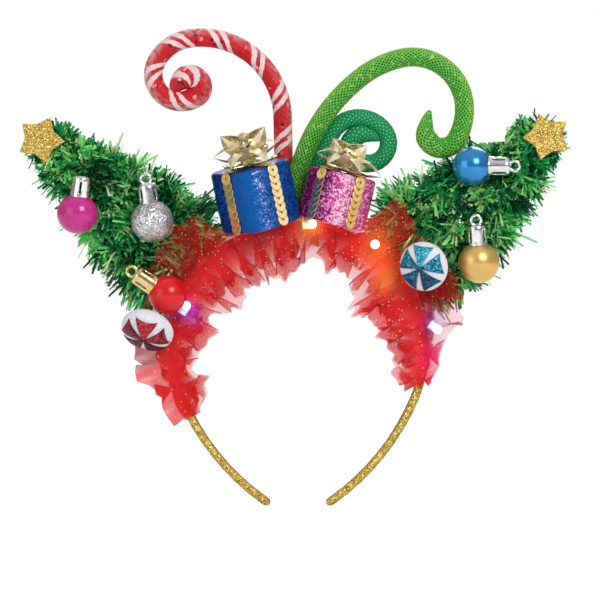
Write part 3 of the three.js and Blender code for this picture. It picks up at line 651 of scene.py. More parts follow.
def makeStrip(strip, material):
    rng = np.random.default_rng(strip["seed"])
    stations, innerReach, outerReach = ruffleReach()
    gathered, opened, zigzag, length = planCreases(strip, rng)
    last = 2 * strip["pleats"]
    stretch = strip["pleats"] + ruffle["endRoom"]
    span = stations[-1] - stations[0]
    waves = rng.normal(0, 2 * np.pi / ruffle["crumpleLength"], (3, ruffle["crumpleWaves"]))
    phases = rng.uniform(0, 2 * np.pi, (3, ruffle["crumpleWaves"]))
    values = {}

    def place(u, v):
        at = np.clip(u * last, 0, last)
        side = 2 * v - 1
        reach = np.abs(side)
        half = (side > 0).astype(int)
        low = np.minimum(at.astype(int), last - 1)

        def between(rows):
            return rows[half, low] * (1 - at + low) + rows[half, low + 1] * (at - low)

        root, end = between(gathered), between(opened)
        fanned = reach ** ruffle["fanPower"]
        step = root * (1 - fanned) + end * fanned
        angle = stations[0] + span * np.clip(step / stretch, -ruffle["overrun"], 1 + ruffle["overrun"])
        inner = np.interp(angle, stations, innerReach)
        outer = np.interp(angle, stations, outerReach)
        edge = np.where(half == 1, outer * strip["outer"], -inner * strip["reach"]) * between(length)
        arm = hoop["crownRadius"] + np.where(half == 1, edge, -edge)
        aside = np.radians(span / stretch) * (end - root) * arm
        edge = np.sqrt(np.maximum(edge ** 2 - aside ** 2, (ruffle["shortest"] * edge) ** 2))
        full = edge / ruffle["fullReach"]
        flare = np.array(ruffle["flares"])[half] * np.clip(full, 0, 1) * reach ** ruffle["flarePower"]
        wave = ruffle["seamWave"] + (strip["depth"] - ruffle["seamWave"]) * reach
        wave = between(zigzag) * wave * np.clip(full, ruffle["leastWave"], 1)
        spots = hoopPlaces(angle, side * edge, ruffle["seamY"] + strip["shift"] - flare + wave)
        dents = [np.sin(spots / mm @ waves + phase).mean(axis=1) for phase in phases]
        values.update(veilValues(at, side, angle, edge))
        crumple = ruffle["crumple"] * mm * reach * np.clip(full, 0, 1)
        return spots + np.stack(dents, axis=1) * crumple[:, None]

    bm = wrapGrid(last * ruffle["panelSteps"], ruffle["rows"], place)
    piece = makePiece(strip["name"], bm, material, strip["replaced"], smooth=False)
    spots = np.array([vert.co for vert in piece.data.vertices])
    glow = piece.data.attributes.new("lampGlow", "FLOAT_COLOR", "POINT")
    glow.data.foreach_set("color", glowAt(spots).ravel())
    for key, row in values.items():
        writeValues(piece, key, row)
    area = sum(face.area for face in piece.data.polygons)
    addSolidify(piece, ruffle["thickness"])
    print(strip["name"], "area in square cm", round(area * 1e4, 1))
    return piece


tulle = tulleMaterial()
for strip in strips:
    sheetPiece = makeStrip(strip, tulle)
print("ruffle done")

# curled tubes: braided sleeves along arcs walked in the front plane

sleeves = [  # arcs as radius and turn in degrees
    {"node": "curl_cane", "radius": 4.65, "start": (-11.2, 9.9, -2), "heading": 74, "strands": 22,
     "arcs": [(99, 16.2), (1200, 1.5), (40.8, 97.2), (22, 55.5), (13.5, 151.7), (5.3, 166), (9.5, 62)],
     "relief": 0.10, "taper": 10, "point": 0.6, "swell": 0.35},
    {"node": "curl_lime", "radius": 4.75, "start": (-2.7, 3.2, 5.4), "heading": 91, "strands": 16,
     "arcs": [(88, -53.8), (50, -24.8), (26.0, -100.1), (31, -31.2), (8.4, -159.2), (55, -10)],
     "relief": 0.24, "taper": 14, "point": 0.75, "swell": 0.12},
    {"node": "curl_green", "radius": 4.35, "start": (8.3, 9.7, -2), "heading": 101, "strands": 12,
     "arcs": [(73.5, -40.7), (15.8, -117.1), (10.2, -128.1), (400, -0.3), (7.3, -178), (15, -34)],
     "relief": 0.26, "taper": 11, "point": 0.6, "swell": 0.16},
]
sleeveGrid = {"around": 84, "step": 0.46, "lineStep": 0.5, "tip": 0.12, "swellOver": 34,
              "slope": 0.8, "trough": 0.6}
caneInk = {
    "stripePitch": 21.5, "raggedSwing": 0.10, "raggedStart": 0.29, "stripeCover": 0.92,
    "stripes": greys((0.0, 0), (0.09, 0), (0.11, 1), (0.23, 1), (0.25, 0), (0.35, 0), (0.37, 1), (0.49, 1),
                     (0.51, 0), (1.0, 0)),
    "red": [(0.0, (0.06, 0.001, 0.004)), (0.025, (0.14, 0.002, 0.006)), (0.05, (0.50, 0.003, 0.010)),
            (0.94, (0.58, 0.006, 0.014)), (0.97, (0.80, 0.22, 0.22)), (1.0, (0.9, 0.45, 0.45))],
    "white": (0.88, 0.79, 0.79), "whiteNet": (0.72, 0.5, 0.51), "netPower": 5.0,
    # outerBend, upperBend and patches: where a painted sheen pales the tube, round its outer side and along
    # part of its length
    "outerBend": greys((0.0, 0), (0.46, 1), (0.58, 0.8), (0.74, 0), (1.0, 0)),
    "upperBend": greys((0.0, 0.15), (0.4, 0.3), (0.6, 1), (0.8, 1), (0.9, 0.3)),
    "patches": greys((0.38, 0.15), (0.58, 0.85)), "netFrost": 0.05, "netAndSheen": (0.86, 0.66, 0.67),
}
limeInk = {
    "core": [(0.0, (0.001, 0.04, 0.01)), (0.5, (0.003, 0.13, 0.02)), (0.78, (0.02, 0.31, 0.03)),
             (1.0, (0.10, 0.48, 0.05))],
    "side": [(0.0, (0.012, 0.12, 0.012)), (0.5, (0.045, 0.29, 0.022)), (0.82, (0.13, 0.5, 0.045)),
             (1.0, (0.36, 0.7, 0.11))],
    # sides and rise: a painted sheen, yellower towards the tube's sides as seen from the front and weaker
    # near its start
    "sides": greys((0.5, 1), (0.62, 0.15), (0.76, 0.12), (0.86, 0.75), (1.0, 1)),
    "rise": greys((0.02, 0.25), (0.2, 1)), "sparks": greys((0.9, 0), (0.95, 0.6), (1.0, 1)),
    "spark": (0.5, 0.68, 0.12),
}
# the pale stops at the holes between strands are painted highlights
greenStops = [(0.0, (0.5, 0.8, 0.62)), (0.12, (0.3, 0.66, 0.44)), (0.22, (0.008, 0.34, 0.11)),
              (0.42, (0.001, 0.24, 0.075)), (0.85, (0.001, 0.20, 0.06)), (1.0, (0.006, 0.32, 0.11))]


def walkArcs(sleeve):
    # centreline in the front plane as rows of x, z, heading and length walked
    x, z = sleeve["start"][0], sleeve["start"][2]
    course, walked = math.radians(sleeve["heading"]), 0.0
    rows = [(x, z, course, walked)]
    for radius, turn in sleeve["arcs"]:
        length = radius * math.radians(abs(turn))
        count = math.ceil(length / sleeveGrid["lineStep"])
        bend = math.radians(turn) / count
        for _ in range(count):
            x += length / count * math.cos(course + bend / 2)
            z += length / count * math.sin(course + bend / 2)
            course += bend
            walked += length / count
            rows.append((x, z, course, walked))
    return np.array(rows)


def makeSleeve(sleeve, makeLook):
    line = walkArcs(sleeve)
    length = line[-1, 3]
    around = sleeve["strands"]
    along = round(around * length / (2 * math.pi * sleeve["radius"]) * sleeveGrid["slope"])
    tip = sleeveGrid["tip"]

    def place(u, v):
        walked = v * length
        x, z, course = (np.interp(walked, line[:, 3], line[:, column]) for column in range(3))
        left = np.clip((length - walked) / sleeve["taper"], 0, 1)
        near = np.clip(1 - (length - walked - sleeve["taper"]) / sleeveGrid["swellOver"], 0, 1)
        fuller = 1 + sleeve["swell"] * near * near * (3 - 2 * near)
        radius = sleeve["radius"] * fuller * (tip + (1 - tip) * left ** sleeve["point"])
        ridge = [np.cos(2 * np.pi * (u * around + sign * v * along)) for sign in (1, -1)]
        radius = radius + sleeve["relief"] * (np.maximum(*ridge) - sleeveGrid["trough"]) * np.sqrt(left)
        side = radius * np.cos(2 * np.pi * u)
        y = sleeve["start"][1] + radius * np.sin(2 * np.pi * u)
        return np.stack([x - np.sin(course) * side, y, z + np.cos(course) * side], axis=1) * mm

    bm = wrapGrid(sleeveGrid["around"], round(length / sleeveGrid["step"]), place, closed=True, capped=True)
    name = sleeve["node"].replace("curl_", "") + "_sleeve"
    makePiece(sleeve["node"] + "_sleeve", bm, makeLook(name, around, along, length), [sleeve["node"]])


def caneLook(name, around, along, length):
    # red with a pair of white stripes winding round, under a fine netting, and a painted sheen that pales the
    # outer bend
    ink = caneInk
    material, tree, shader = newMaterial(name, **{"Roughness": 0.5, "Specular IOR Level": 0.12})
    axes = splitAxes(tree, "UV")
    strand = useGroup(tree, braidGroup, Around=around, Along=along)["Strand"]
    patches = useGroup(tree, crinkleGroup, Scale=420, Sharpness=0.0)["Patches"]
    ragged = mathNode(tree, "MULTIPLY_ADD", patches, ink["raggedSwing"], ink["raggedStart"])
    wound = mathNode(tree, "MULTIPLY_ADD", axes["Y"], length / ink["stripePitch"], axes["X"])
    wound = mathNode(tree, "FRACT", mathNode(tree, "ADD", wound, ragged))
    stripes = mathNode(tree, "MULTIPLY", rampNode(tree, wound, ink["stripes"]), ink["stripeCover"])
    red = rampNode(tree, useGroup(tree, flakesGroup, Scale=620, Tilt=0.3)["Flake"], ink["red"])
    netted = mathNode(tree, "POWER", strand, ink["netPower"])
    striped = mixColours(tree, stripes, red, mixColours(tree, netted, ink["white"], ink["whiteNet"]))
    # a painted sheen on the outer bend, mixed with the net's own whitening
    outer, upper = rampNode(tree, axes["X"], ink["outerBend"]), rampNode(tree, axes["Y"], ink["upperBend"])
    patchy = rampNode(tree, patches, ink["patches"])
    paintedSheen = mathNode(tree, "MULTIPLY", mathNode(tree, "MULTIPLY", outer, upper), patchy)
    netAndSheen = mathNode(tree, "MULTIPLY_ADD", netted, ink["netFrost"], paintedSheen)
    tree.links.new(mixColours(tree, netAndSheen, striped, ink["netAndSheen"]), shader["Base Color"])
    return material


def limeLook(name, around, along, length):
    # green strands over darker dots, a painted sheen that turns them yellow towards the tube's sides, and
    # pale sparks
    ink = limeInk
    material, tree, shader = newMaterial(name, **{"Roughness": 0.42, "Specular IOR Level": 0.2})
    axes = splitAxes(tree, "UV")
    strand = useGroup(tree, braidGroup, Around=around, Along=along)["Strand"]
    middle, side = (rampNode(tree, strand, ink[key]) for key in ("core", "side"))
    sides, risen = rampNode(tree, axes["X"], ink["sides"]), rampNode(tree, axes["Y"], ink["rise"])
    toned = mixColours(tree, mathNode(tree, "MULTIPLY", sides, risen), middle, side)
    flakes = useGroup(tree, flakesGroup, Scale=1300, Tilt=0.5)
    sparks = rampNode(tree, flakes["Flake"], ink["sparks"])
    tree.links.new(mixColours(tree, sparks, toned, ink["spark"]), shader["Base Color"])
    tree.links.new(flakes["Normal"], shader["Normal"])
    return material


def greenLook(name, around, along, length):
    # dark green strands with pale dots between them, which are painted highlights
    material, tree, shader = newMaterial(name, **{"Roughness": 0.4, "Specular IOR Level": 0.15})
    strand = useGroup(tree, braidGroup, Around=around, Along=along)["Strand"]
    colourBy(tree, shader, strand, greenStops)
    return material


for sleeve, makeLook in zip(sleeves, (caneLook, limeLook, greenLook)):
    makeSleeve(sleeve, makeLook)
print("curled tubes done")

# balls and their slotted caps

balls = [
    {"name": "magenta", "radius": 10.1, "place": (-110, -13, 8),
     "turn": 82.5, "nod": 6, "loop": False, "slot": 0},
    {"name": "silver", "radius": 10.6, "place": (-72.7, -14, 4.2),
     "turn": 98.6, "nod": 4, "loop": True, "slot": 45},
    {"name": "red", "radius": 9.5, "place": (-65, -20.2, -32.4),
     "turn": 146.6, "nod": 0, "loop": True, "slot": 45},
    {"name": "blue", "radius": 9.8, "place": (86.6, -10, 31.7),
     "turn": 0, "nod": 4, "loop": True, "slot": 45},
    {"name": "gold", "radius": 10.3, "place": (89.9, -9.5, -16.3),
     "turn": 93.7, "nod": 6, "loop": True, "slot": 45},
]
ballGrid = {"around": 56, "along": 32, "clouds": 60}
capShape = {"radius": 5.1, "sides": 48, "slots": 4, "slotFrom": 10.4, "slotTo": 16.4,
            "slotHalfAngle": 9, "wall": 0.35, "top": 19.0, "loopRadius": 2.5, "loopWire": 0.8,
            "loopSides": 12, "loopSteps": 36, "loopSunk": 0.3}
# radius and height from the ball's middle
capProfile = [(5.45, 7.6), (5.1, 8.3), (5.1, 9.2), (5.02, 10.4), (4.95, 12.4), (4.88, 14.4), (4.8, 16.4),
              (4.7, 17.7), (4.4, 18.45), (3.7, 19.0), (2.0, 19.05), (0, 19.05)]
paints = {
    "magenta": smoothMaterial("magenta_gloss", [(0.3, (0.50, 0.012, 0.20)), (0.7, (0.57, 0.02, 0.25))],
                              ballGrid["clouds"], **{"Roughness": 0.22, "Specular IOR Level": 0.3,
                                                     "Coat Weight": 0.5, "Coat Roughness": 0.08}),
    "silver": glitterMaterial("silver_glitter", [(0.0, (0.25, 0.25, 0.27)), (0.4, (0.58, 0.58, 0.61)),
                                                 (0.85, (0.8, 0.8, 0.82)), (1.0, (1, 1, 1))], 1750, 0.8,
                              Metallic=0.85, Roughness=0.32),
    "red": smoothMaterial("red_gloss", [(0.3, (0.64, 0.003, 0.010)), (0.7, (0.74, 0.006, 0.016))],
                          ballGrid["clouds"], **{"Roughness": 0.28, "Specular IOR Level": 0.3,
                                                 "Coat Weight": 0.3, "Coat Roughness": 0.1}),
    "blue": smoothMaterial("blue_gloss", [(0.3, (0.001, 0.21, 0.58)), (0.7, (0.002, 0.28, 0.68))],
                           ballGrid["clouds"], **{"Metallic": 0.65, "Roughness": 0.26,
                                                  "Coat Weight": 1.0, "Coat Roughness": 0.05}),
    "gold": smoothMaterial("gold_satin", [(0.3, (0.78, 0.48, 0.14)), (0.7, (0.88, 0.6, 0.21))],
                           ballGrid["clouds"], **{"Metallic": 0.8, "Roughness": 0.36, "Coat Weight": 0.15}),
}
metalGrain = {"scale": 700, "detail": 2, "roughSwing": 0.18, "roughLeast": 0.05}


def metalMaterial(name, stops):
    # thin bright metal with faint drawing lines
    material, tree, shader = newMaterial(name, Metallic=1.0)
    lines = addNode(tree, "ShaderNodeTexNoise")
    lines.inputs["Scale"].default_value = metalGrain["scale"]
    lines.inputs["Detail"].default_value = metalGrain["detail"]
    tree.links.new(coordinates(tree, "Object"), lines.inputs["Vector"])
    colourBy(tree, shader, lines.outputs["Fac"], stops)
    swing, least = metalGrain["roughSwing"], metalGrain["roughLeast"]
    rough = mathNode(tree, "MULTIPLY_ADD", lines.outputs["Fac"], swing, least)
    tree.links.new(rough, shader["Roughness"])
    return material


silverCap = metalMaterial("cap_silver", [(0.3, (0.74, 0.75, 0.77)), (0.7, (0.9, 0.9, 0.92))])
goldCap = metalMaterial("cap_gold", [(0.3, (0.78, 0.55, 0.2)), (0.7, (0.95, 0.74, 0.36))])


def makeCap(ball, matrix):
    shape = capShape
    bm = lathe(capProfile, shape["sides"])
    pitch = 360 / shape["slots"]
    slotFaces = []
    for face in bm.faces:
        middle = face.calc_center_median() / mm
        around = (math.degrees(math.atan2(middle.y, middle.x)) - ball["slot"] + 90) % pitch
        aside = min(around, pitch - around)
        if aside < shape["slotHalfAngle"] and shape["slotFrom"] < middle.z < shape["slotTo"]:
            slotFaces.append(face)
    bmesh.ops.delete(bm, geom=slotFaces, context="FACES")
    bmesh.ops.transform(bm, verts=bm.verts, matrix=matrix)
    name = f"cap_{ball['name']}"
    look = goldCap if ball["name"] == "red" else silverCap
    shell = makePiece(f"{name}_shell", bm, look, [name])
    addSolidify(shell, shape["wall"], -1.0)
    if not ball["loop"]:
        return
    ring = bmesh.new()
    made = bmesh.ops.create_circle(ring, segments=shape["loopSides"], radius=shape["loopWire"] * mm)
    bmesh.ops.rotate(ring, verts=made["verts"], cent=(0, 0, 0), matrix=Matrix.Rotation(math.pi / 2, 3, "Y"))
    bmesh.ops.translate(ring, verts=made["verts"], vec=(0, 0, shape["loopRadius"] * mm))
    bmesh.ops.spin(ring, geom=ring.edges[:] + ring.verts[:], cent=(0, 0, 0), axis=(0, 1, 0),
                   angle=2 * math.pi, steps=shape["loopSteps"], use_merge=True)
    bmesh.ops.remove_doubles(ring, verts=ring.verts, dist=1e-7)
    bmesh.ops.recalc_face_normals(ring, faces=ring.faces)
    lift = (shape["top"] + shape["loopRadius"] - shape["loopSunk"]) * mm
    bmesh.ops.transform(ring, verts=ring.verts, matrix=matrix @ Matrix.Translation((0, 0, lift)))
    makePiece(f"{name}_loop", ring, look)


def makeBall(ball):
    matrix = standing(heading(ball["turn"], ball["nod"]), ball["place"])
    bm = bmesh.new()
    bm.loops.layers.uv.new("uv")
    bmesh.ops.create_uvsphere(bm, u_segments=ballGrid["around"], v_segments=ballGrid["along"],
                              radius=ball["radius"] * mm)
    bmesh.ops.transform(bm, verts=bm.verts, matrix=matrix)
    name = ball["name"]
    makePiece(f"ball_{name}_shell", bm, paints[name], [f"ball_{name}"])
    makeCap(ball, matrix)


for ball in balls:
    makeBall(ball)
print("balls done")

# stars: thick glitter foam, cut from the solids' outlines with a soft edge

starShape = {"edge": 0.45, "segments": 3, "flat": 0.01, "flakes": 2500, "tilt": 0.7}
starGlitter = glitterMaterial("star_glitter", goldStops, starShape["flakes"], starShape["tilt"], Metallic=0.6,
                              Roughness=0.45)
for side in ("left", "right"):
    bm = bmesh.new()
    bm.from_mesh(nodes[f"star_{side}"].data)
    bmesh.ops.remove_doubles(bm, verts=bm.verts, dist=1e-6)
    bmesh.ops.dissolve_limit(bm, angle_limit=starShape["flat"], verts=bm.verts, edges=bm.edges)
    bmesh.ops.bevel(bm, geom=bm.edges[:], offset=starShape["edge"] * mm, segments=starShape["segments"],
                    profile=0.5, affect="EDGES", material=-1)
    bmesh.ops.triangulate(bm, faces=bm.faces)
    makePiece(f"star_{side}_foam", bm, starGlitter, [f"star_{side}"], smooth=False)
print("stars done")

# trees: a dark core, coloured as painted shade deep in the tinsel, under thousands of cut film strands that
# fan out in tufts

trees = [
    {"side": "left", "base": (-64.3, -7.6), "tip": (-129.8, 46.6), "halfWidth": 28.2, "sink": 22, "seed": 11},
    {"side": "right", "base": (63.9, -5.8), "tip": (126.9, 50.6), "halfWidth": 29.6, "sink": 22, "seed": 12},
]
treeShape = {"tipHalfWidth": 9, "depthAtNoWidth": 4.5, "depthShare": 0.24, "baseDepth": 6.5, "tipDepth": 0.5,
             "footTaper": 0.02}
core = {"share": 0.62, "foot": 0.9, "squareness": 6, "clear": 0.6, "around": 32, "along": 40}
tinsel = {"width": 1.15, "thickness": 0.14, "points": 4, "twist": 0.7, "twistSeed": 5}
tuft = {"count": 600, "drawn": 3, "strands": 15, "length": 14, "lengths": (0.7, 1.15), "narrowing": 0.46,
        "longShare": 0.13, "longer": 1.3, "rowPitch": 9.5, "rowJitter": 1.1, "footGap": 2, "tipGap": 3,
        "endGap": 2, "rootDepth": 6.5, "rootNarrowing": 0.4, "rootFlatter": 0.7, "leastWide": 2,
        "leastDeep": 1, "fan": 78, "aside": 0.3, "rootSpread": 0.8, "spread": 0.2, "bend": 0.16,
        "droop": 0.16, "ownTone": 0.28}
filler = {"count": 2600, "length": 9.5, "lengths": (0.6, 1.2), "narrowing": 0.3, "footGap": 3, "tipGap": 2,
          "inset": 0.6464, "outward": 0.55, "spread": 0.6, "bend": 0.18, "roll": 0.3, "tone": 0.8}
room = {"hoop": 0.3, "ruffleBack": -5.0, "ruffleReach": 25, "ball": 0.7, "capEnd": 19.5, "loopEnd": 24,
        "star": 12.6, "starBack": 0.4, "candy": 13.5, "tube": 5.6, "tubeTop": 60, "tubeStride": 6,
        # corners in the front view of patches that stay bare
        "bare": [((83, -60), (120, -31)), ((87, 44), (104, 70)), ((-125, -60), (-89, -34))]}
# tones at random per strand, whose palest stops are painted glints
tinselStops = [(0.0, (0.0, 0.025, 0.01)), (0.25, (0.001, 0.12, 0.04)), (0.42, (0.005, 0.40, 0.11)),
               (0.58, (0.08, 0.72, 0.19)), (0.72, (0.42, 0.95, 0.3)), (0.86, (0.8, 1.0, 0.5)),
               (1.0, (1.0, 1.0, 0.85))]


def unitRows(rows):
    return rows / np.linalg.norm(rows, axis=-1, keepdims=True)


def treeFrame(tree):
    base, tip = (np.array([spot[0], 0.0, spot[1]]) for spot in (tree["base"], tree["tip"]))
    length = np.linalg.norm(tip - base)
    along = (tip - base) / length
    across = np.array([along[2], 0.0, -along[0]])
    return base, along, across, length


def treeSection(tree, height, length):
    # share of the height, and half-width, half-depth and middle depth there
    rise = np.clip(height / length, 0, 1)
    narrowed = 1 + treeShape["footTaper"] * np.minimum(height, 0)
    wide = (tree["halfWidth"] + (treeShape["tipHalfWidth"] - tree["halfWidth"]) * rise) * narrowed
    deep = treeShape["depthAtNoWidth"] + treeShape["depthShare"] * wide
    middle = treeShape["baseDepth"] + (treeShape["tipDepth"] - treeShape["baseDepth"]) * rise
    return rise, wide, deep, middle


def treeSpots(tree, height, around, wide, deep, middle):
    # points round the tree's axis, at a half-width and half-depth of their own
    base, along, across, _ = treeFrame(tree)
    spots = base + height[:, None] * along + (wide * np.cos(around))[:, None] * across
    spots[:, 1] += middle + deep * np.sin(around)
    return spots


def treeNormals(tree, around, wide, deep):
    across = treeFrame(tree)[2]
    rows = (np.cos(around) / wide)[:, None] * across
    rows[:, 1] += np.sin(around) / deep
    return unitRows(rows)


def strandPoints(root, reach, lean, bend):
    share = np.linspace(0, 1, tinsel["points"])[None, :, None]
    return root[:, None] + reach[:, None, None] * (share * lean[:, None] + share ** 2 * bend[:, None])


def blocked(points):
    # true where a point lies in the hoop, the ruffle's room, an ornament or a bare patch
    x, y, z = points[..., 0], points[..., 1], points[..., 2]
    fromCrown = np.hypot(x, z - hoop["crownZ"])
    inside = fromCrown < hoop["top"] + room["hoop"]
    inside |= (y < room["ruffleBack"]) & (fromCrown < hoop["crownRadius"] + room["ruffleReach"])
    for ball in balls:
        offset = points - np.array(ball["place"])
        inside |= np.linalg.norm(offset, axis=-1) < ball["radius"] + room["ball"]
        axis = np.array(heading(ball["turn"], ball["nod"]))
        walked = offset @ axis
        aside = np.linalg.norm(offset - walked[..., None] * axis, axis=-1)
        end = room["loopEnd"] if ball["loop"] else room["capEnd"]
        inside |= (walked > 0) & (walked < end) & (aside < capShape["radius"] + room["ball"])
    for node in ("star_left", "star_right"):
        low, high = nodeBox(node)
        middle = (low + high) / 2
        inside |= (np.hypot(x - middle[0], z - middle[2]) < room["star"]) & (y < high[1] + room["starBack"])
    for node in ("gift_blue", "gift_pink"):
        low, high = nodeBox(node)
        inside |= ((points > low) & (points < high)).all(axis=-1)
    for node in ("candy_blue", "candy_red"):
        low, high = nodeBox(node)
        inside |= np.linalg.norm(points - (low + high) / 2, axis=-1) < room["candy"]
    for low, high in room["bare"]:
        inside |= (x > low[0]) & (x < high[0]) & (z > low[1]) & (z < high[1])
    lime = sleeves[1]
    line = walkArcs(lime)[::room["tubeStride"]]
    besideTube = np.abs(y - lime["start"][1]) < room["tube"]
    for tubeX, tubeZ in line[line[:, 1] < room["tubeTop"]][:, :2]:
        inside |= (np.hypot(x - tubeX, z - tubeZ) < room["tube"]) & besideTube
    return inside


def makeFillers(tree, rng):
    # short strands strewn evenly over the core, so that it doesn't show through
    count = filler["count"]
    length = treeFrame(tree)[3]
    height = rng.uniform(-tree["sink"] + filler["footGap"], length - filler["tipGap"], count)
    around = rng.uniform(0, 2 * np.pi, count)
    rise, wide, deep, middle = treeSection(tree, height, length)
    outward = treeNormals(tree, around, wide, deep)
    root = treeSpots(tree, height, around, filler["inset"] * wide, filler["inset"] * deep, middle)
    lean = unitRows(filler["outward"] * outward + rng.normal(0, filler["spread"], (count, 3)))
    reach = filler["length"] * rng.uniform(*filler["lengths"], count) * (1 - filler["narrowing"] * rise)
    points = strandPoints(root, reach, lean, rng.normal(0, filler["bend"], (count, 3)))
    flatSide = unitRows(np.cross(lean, outward + rng.normal(0, filler["roll"], (count, 3))))
    return points, flatSide, lean, filler["tone"] * rng.uniform(0, 1, count)


def tuftRoots(tree, rng):
    # a height and a turn about the tree for each tuft, in rows that wind round it
    length = treeFrame(tree)[3]
    drawn = tuft["count"] * tuft["drawn"]
    height = rng.uniform(-tree["sink"] + tuft["footGap"], length - tuft["tipGap"], drawn)
    _, wide, deep, _ = treeSection(tree, height, length)
    kept = rng.uniform(0, 1, drawn) < (wide + deep) / (wide + deep).max()
    height = height[kept][:tuft["count"]]
    around = rng.uniform(0, 2 * np.pi, len(height))
    twist = tuft["rowPitch"] * around / (2 * np.pi)
    height = np.round((height - twist) / tuft["rowPitch"]) * tuft["rowPitch"] + twist
    height = height + rng.normal(0, tuft["rowJitter"], len(height))
    return np.clip(height, -tree["sink"], length - tuft["endGap"]), around


def makeStrands(tree):
    # points along each strand, its flat side, its lean and its tone
    rng = np.random.default_rng(tree["seed"])
    _, along, _, length = treeFrame(tree)
    height, around = tuftRoots(tree, rng)
    tufts = len(height)
    rise, wide, deep, middle = treeSection(tree, height, length)
    outward = treeNormals(tree, around, wide, deep)
    inset = tuft["rootDepth"] * (1 - tuft["rootNarrowing"] * rise)
    rootWide = np.maximum(wide - inset, tuft["leastWide"])
    rootDeep = np.maximum(deep - inset * tuft["rootFlatter"], tuft["leastDeep"])
    root = treeSpots(tree, height, around, rootWide, rootDeep, middle)
    fan = np.radians(rng.uniform(-tuft["fan"], tuft["fan"], tufts))
    lean = np.cos(fan)[:, None] * outward + np.sin(fan)[:, None] * along
    lean = unitRows(lean + rng.normal(0, tuft["aside"], tufts)[:, None] * np.cross(outward, along))
    longer = np.where(rng.uniform(0, 1, tufts) < tuft["longShare"], tuft["longer"], 1.0)
    reach = tuft["length"] * (1 - tuft["narrowing"] * rise) * longer
    tone = rng.uniform(0, 1, tufts)

    root, lean, reach, tone = (np.repeat(rows, tuft["strands"], axis=0) for rows in (root, lean, reach, tone))
    count = len(root)
    root = root + rng.normal(0, tuft["rootSpread"], (count, 3))
    lean = unitRows(lean + rng.normal(0, tuft["spread"], (count, 3)))
    reach = reach * rng.uniform(*tuft["lengths"], count)
    tone = (1 - tuft["ownTone"]) * tone + tuft["ownTone"] * rng.uniform(0, 1, count)
    bend = rng.normal(0, tuft["bend"], (count, 3)) + np.array([0, 0, -tuft["droop"]])
    flatSide = unitRows(np.cross(lean, rng.normal(0, 1, (count, 3))))
    tufted = (strandPoints(root, reach, lean, bend), flatSide, lean, tone)
    both = [np.concatenate(pair) for pair in zip(tufted, makeFillers(tree, rng))]
    clear = ~blocked(both[0]).any(axis=1)
    return [rows[clear] for rows in both]


def joinStrands(tree, material):
    # one mesh of closed strips, each with a slim three-sided section that twists a little
    points, flatSide, lean, tone = makeStrands(tree)
    count, rings = points.shape[:2]
    edgeOn = np.cross(lean, flatSide)
    twist = np.random.default_rng(tinsel["twistSeed"]).normal(0, tinsel["twist"], (count, 1, 1))
    twist = np.linspace(0, 1, rings)[None, :, None] * twist
    flatSide = np.cos(twist) * flatSide[:, None] + np.sin(twist) * edgeOn[:, None]
    edgeOn = np.cross(np.repeat(lean[:, None], rings, axis=1), flatSide)
    half = tinsel["width"] / 2
    section = [points + half * flatSide, points - half * flatSide, points + tinsel["thickness"] * edgeOn]
    verts = np.stack(section, axis=2).reshape(-1, 3) * mm
    first = (np.arange(count) * rings * 3)[:, None, None]
    ring = (np.arange(rings - 1) * 3)[None, :, None]
    corner = np.arange(3)[None, None, :]
    after = (corner + 1) % 3
    quads = np.stack([corner + ring, after + ring, after + ring + 3, corner + ring + 3], axis=-1)
    quads = quads + first[..., None]
    ends = np.array([[2, 1, 0], [3 * rings - 3, 3 * rings - 2, 3 * rings - 1]])[None] + first
    name = f"tinsel_{tree['side']}"
    mesh = bpy.data.meshes.new(name)
    mesh.from_pydata(verts.tolist(), [], quads.reshape(-1, 4).tolist() + ends.reshape(-1, 3).tolist())
    strands = addPiece(name, mesh, material, [f"tree_{tree['side']}"])
    writeValues(strands, "tone", np.repeat(tone, rings * 3))
    print(name, len(mesh.polygons), "faces")


def tinselMaterial():
    material, tree, shader = newMaterial("green_tinsel", Metallic=0.3, Roughness=0.28)
    colourBy(tree, shader, readValue(tree, "tone"), tinselStops)
    return material


def makeCore(tree, material):
    length = treeFrame(tree)[3]
    foot = tree["sink"] * core["foot"]
    crown = np.array([0, hoop["crownZ"]])

    def place(u, v):
        height = -foot + v * (length + foot)
        _, wide, deep, middle = treeSection(tree, height, length)
        shrunk = core["share"] * np.sqrt(np.clip(1 - (2 * v - 1) ** core["squareness"], 0, 1))
        spots = treeSpots(tree, height, 2 * np.pi * u, shrunk * wide, shrunk * deep, middle)
        fromCrown = spots[:, [0, 2]] - crown
        radius = np.linalg.norm(fromCrown, axis=1)
        kept = np.maximum(radius, hoop["top"] + core["clear"])
        spots[:, [0, 2]] = crown + fromCrown * (kept / radius)[:, None]
        return spots * mm

    bm = wrapGrid(core["around"], core["along"], place, closed=True)
    makePiece(f"tinsel_core_{tree['side']}", bm, material, slotName="green_tinsel")


filmGreen = tinselMaterial()
# the core is dark as a painted shade for the tinsel's depths
coreGreen = smoothMaterial("tinsel_core", [(0.3, (0.001, 0.05, 0.014)), (0.7, (0.004, 0.12, 0.03))], 90,
                           **{"Metallic": 0.0, "Roughness": 0.6, "Specular IOR Level": 0.2})
for tree in trees:
    joinStrands(tree, filmGreen)
    makeCore(tree, coreGreen)
print("trees done")

# gifts: soft boxes in glitter film, with sequin strings and foil bows

gifts = [
    {"name": "blue", "side": 32.4, "height": 31, "corner": 8, "sequins": 8, "y": -11, "along": -4.7,
     "sunk": 0.9, "lean": -12, "tip": 10, "yaw": 41},
    {"name": "pink", "side": 27, "height": 26, "corner": 5.5, "sequins": 7, "y": -9, "along": 0.3, "sunk": 0,
     "lean": 14, "tip": 2, "yaw": 42},
]
boxShape = {"rim": 1.7, "bulge": 0.35, "crumple": 0.3, "waves": 7, "waveRange": (0.5, 1.6), "flatBand": 0.5,
            "cornerSegments": 10, "rimSegments": 4, "wallCuts": 14, "topCuts": 10}
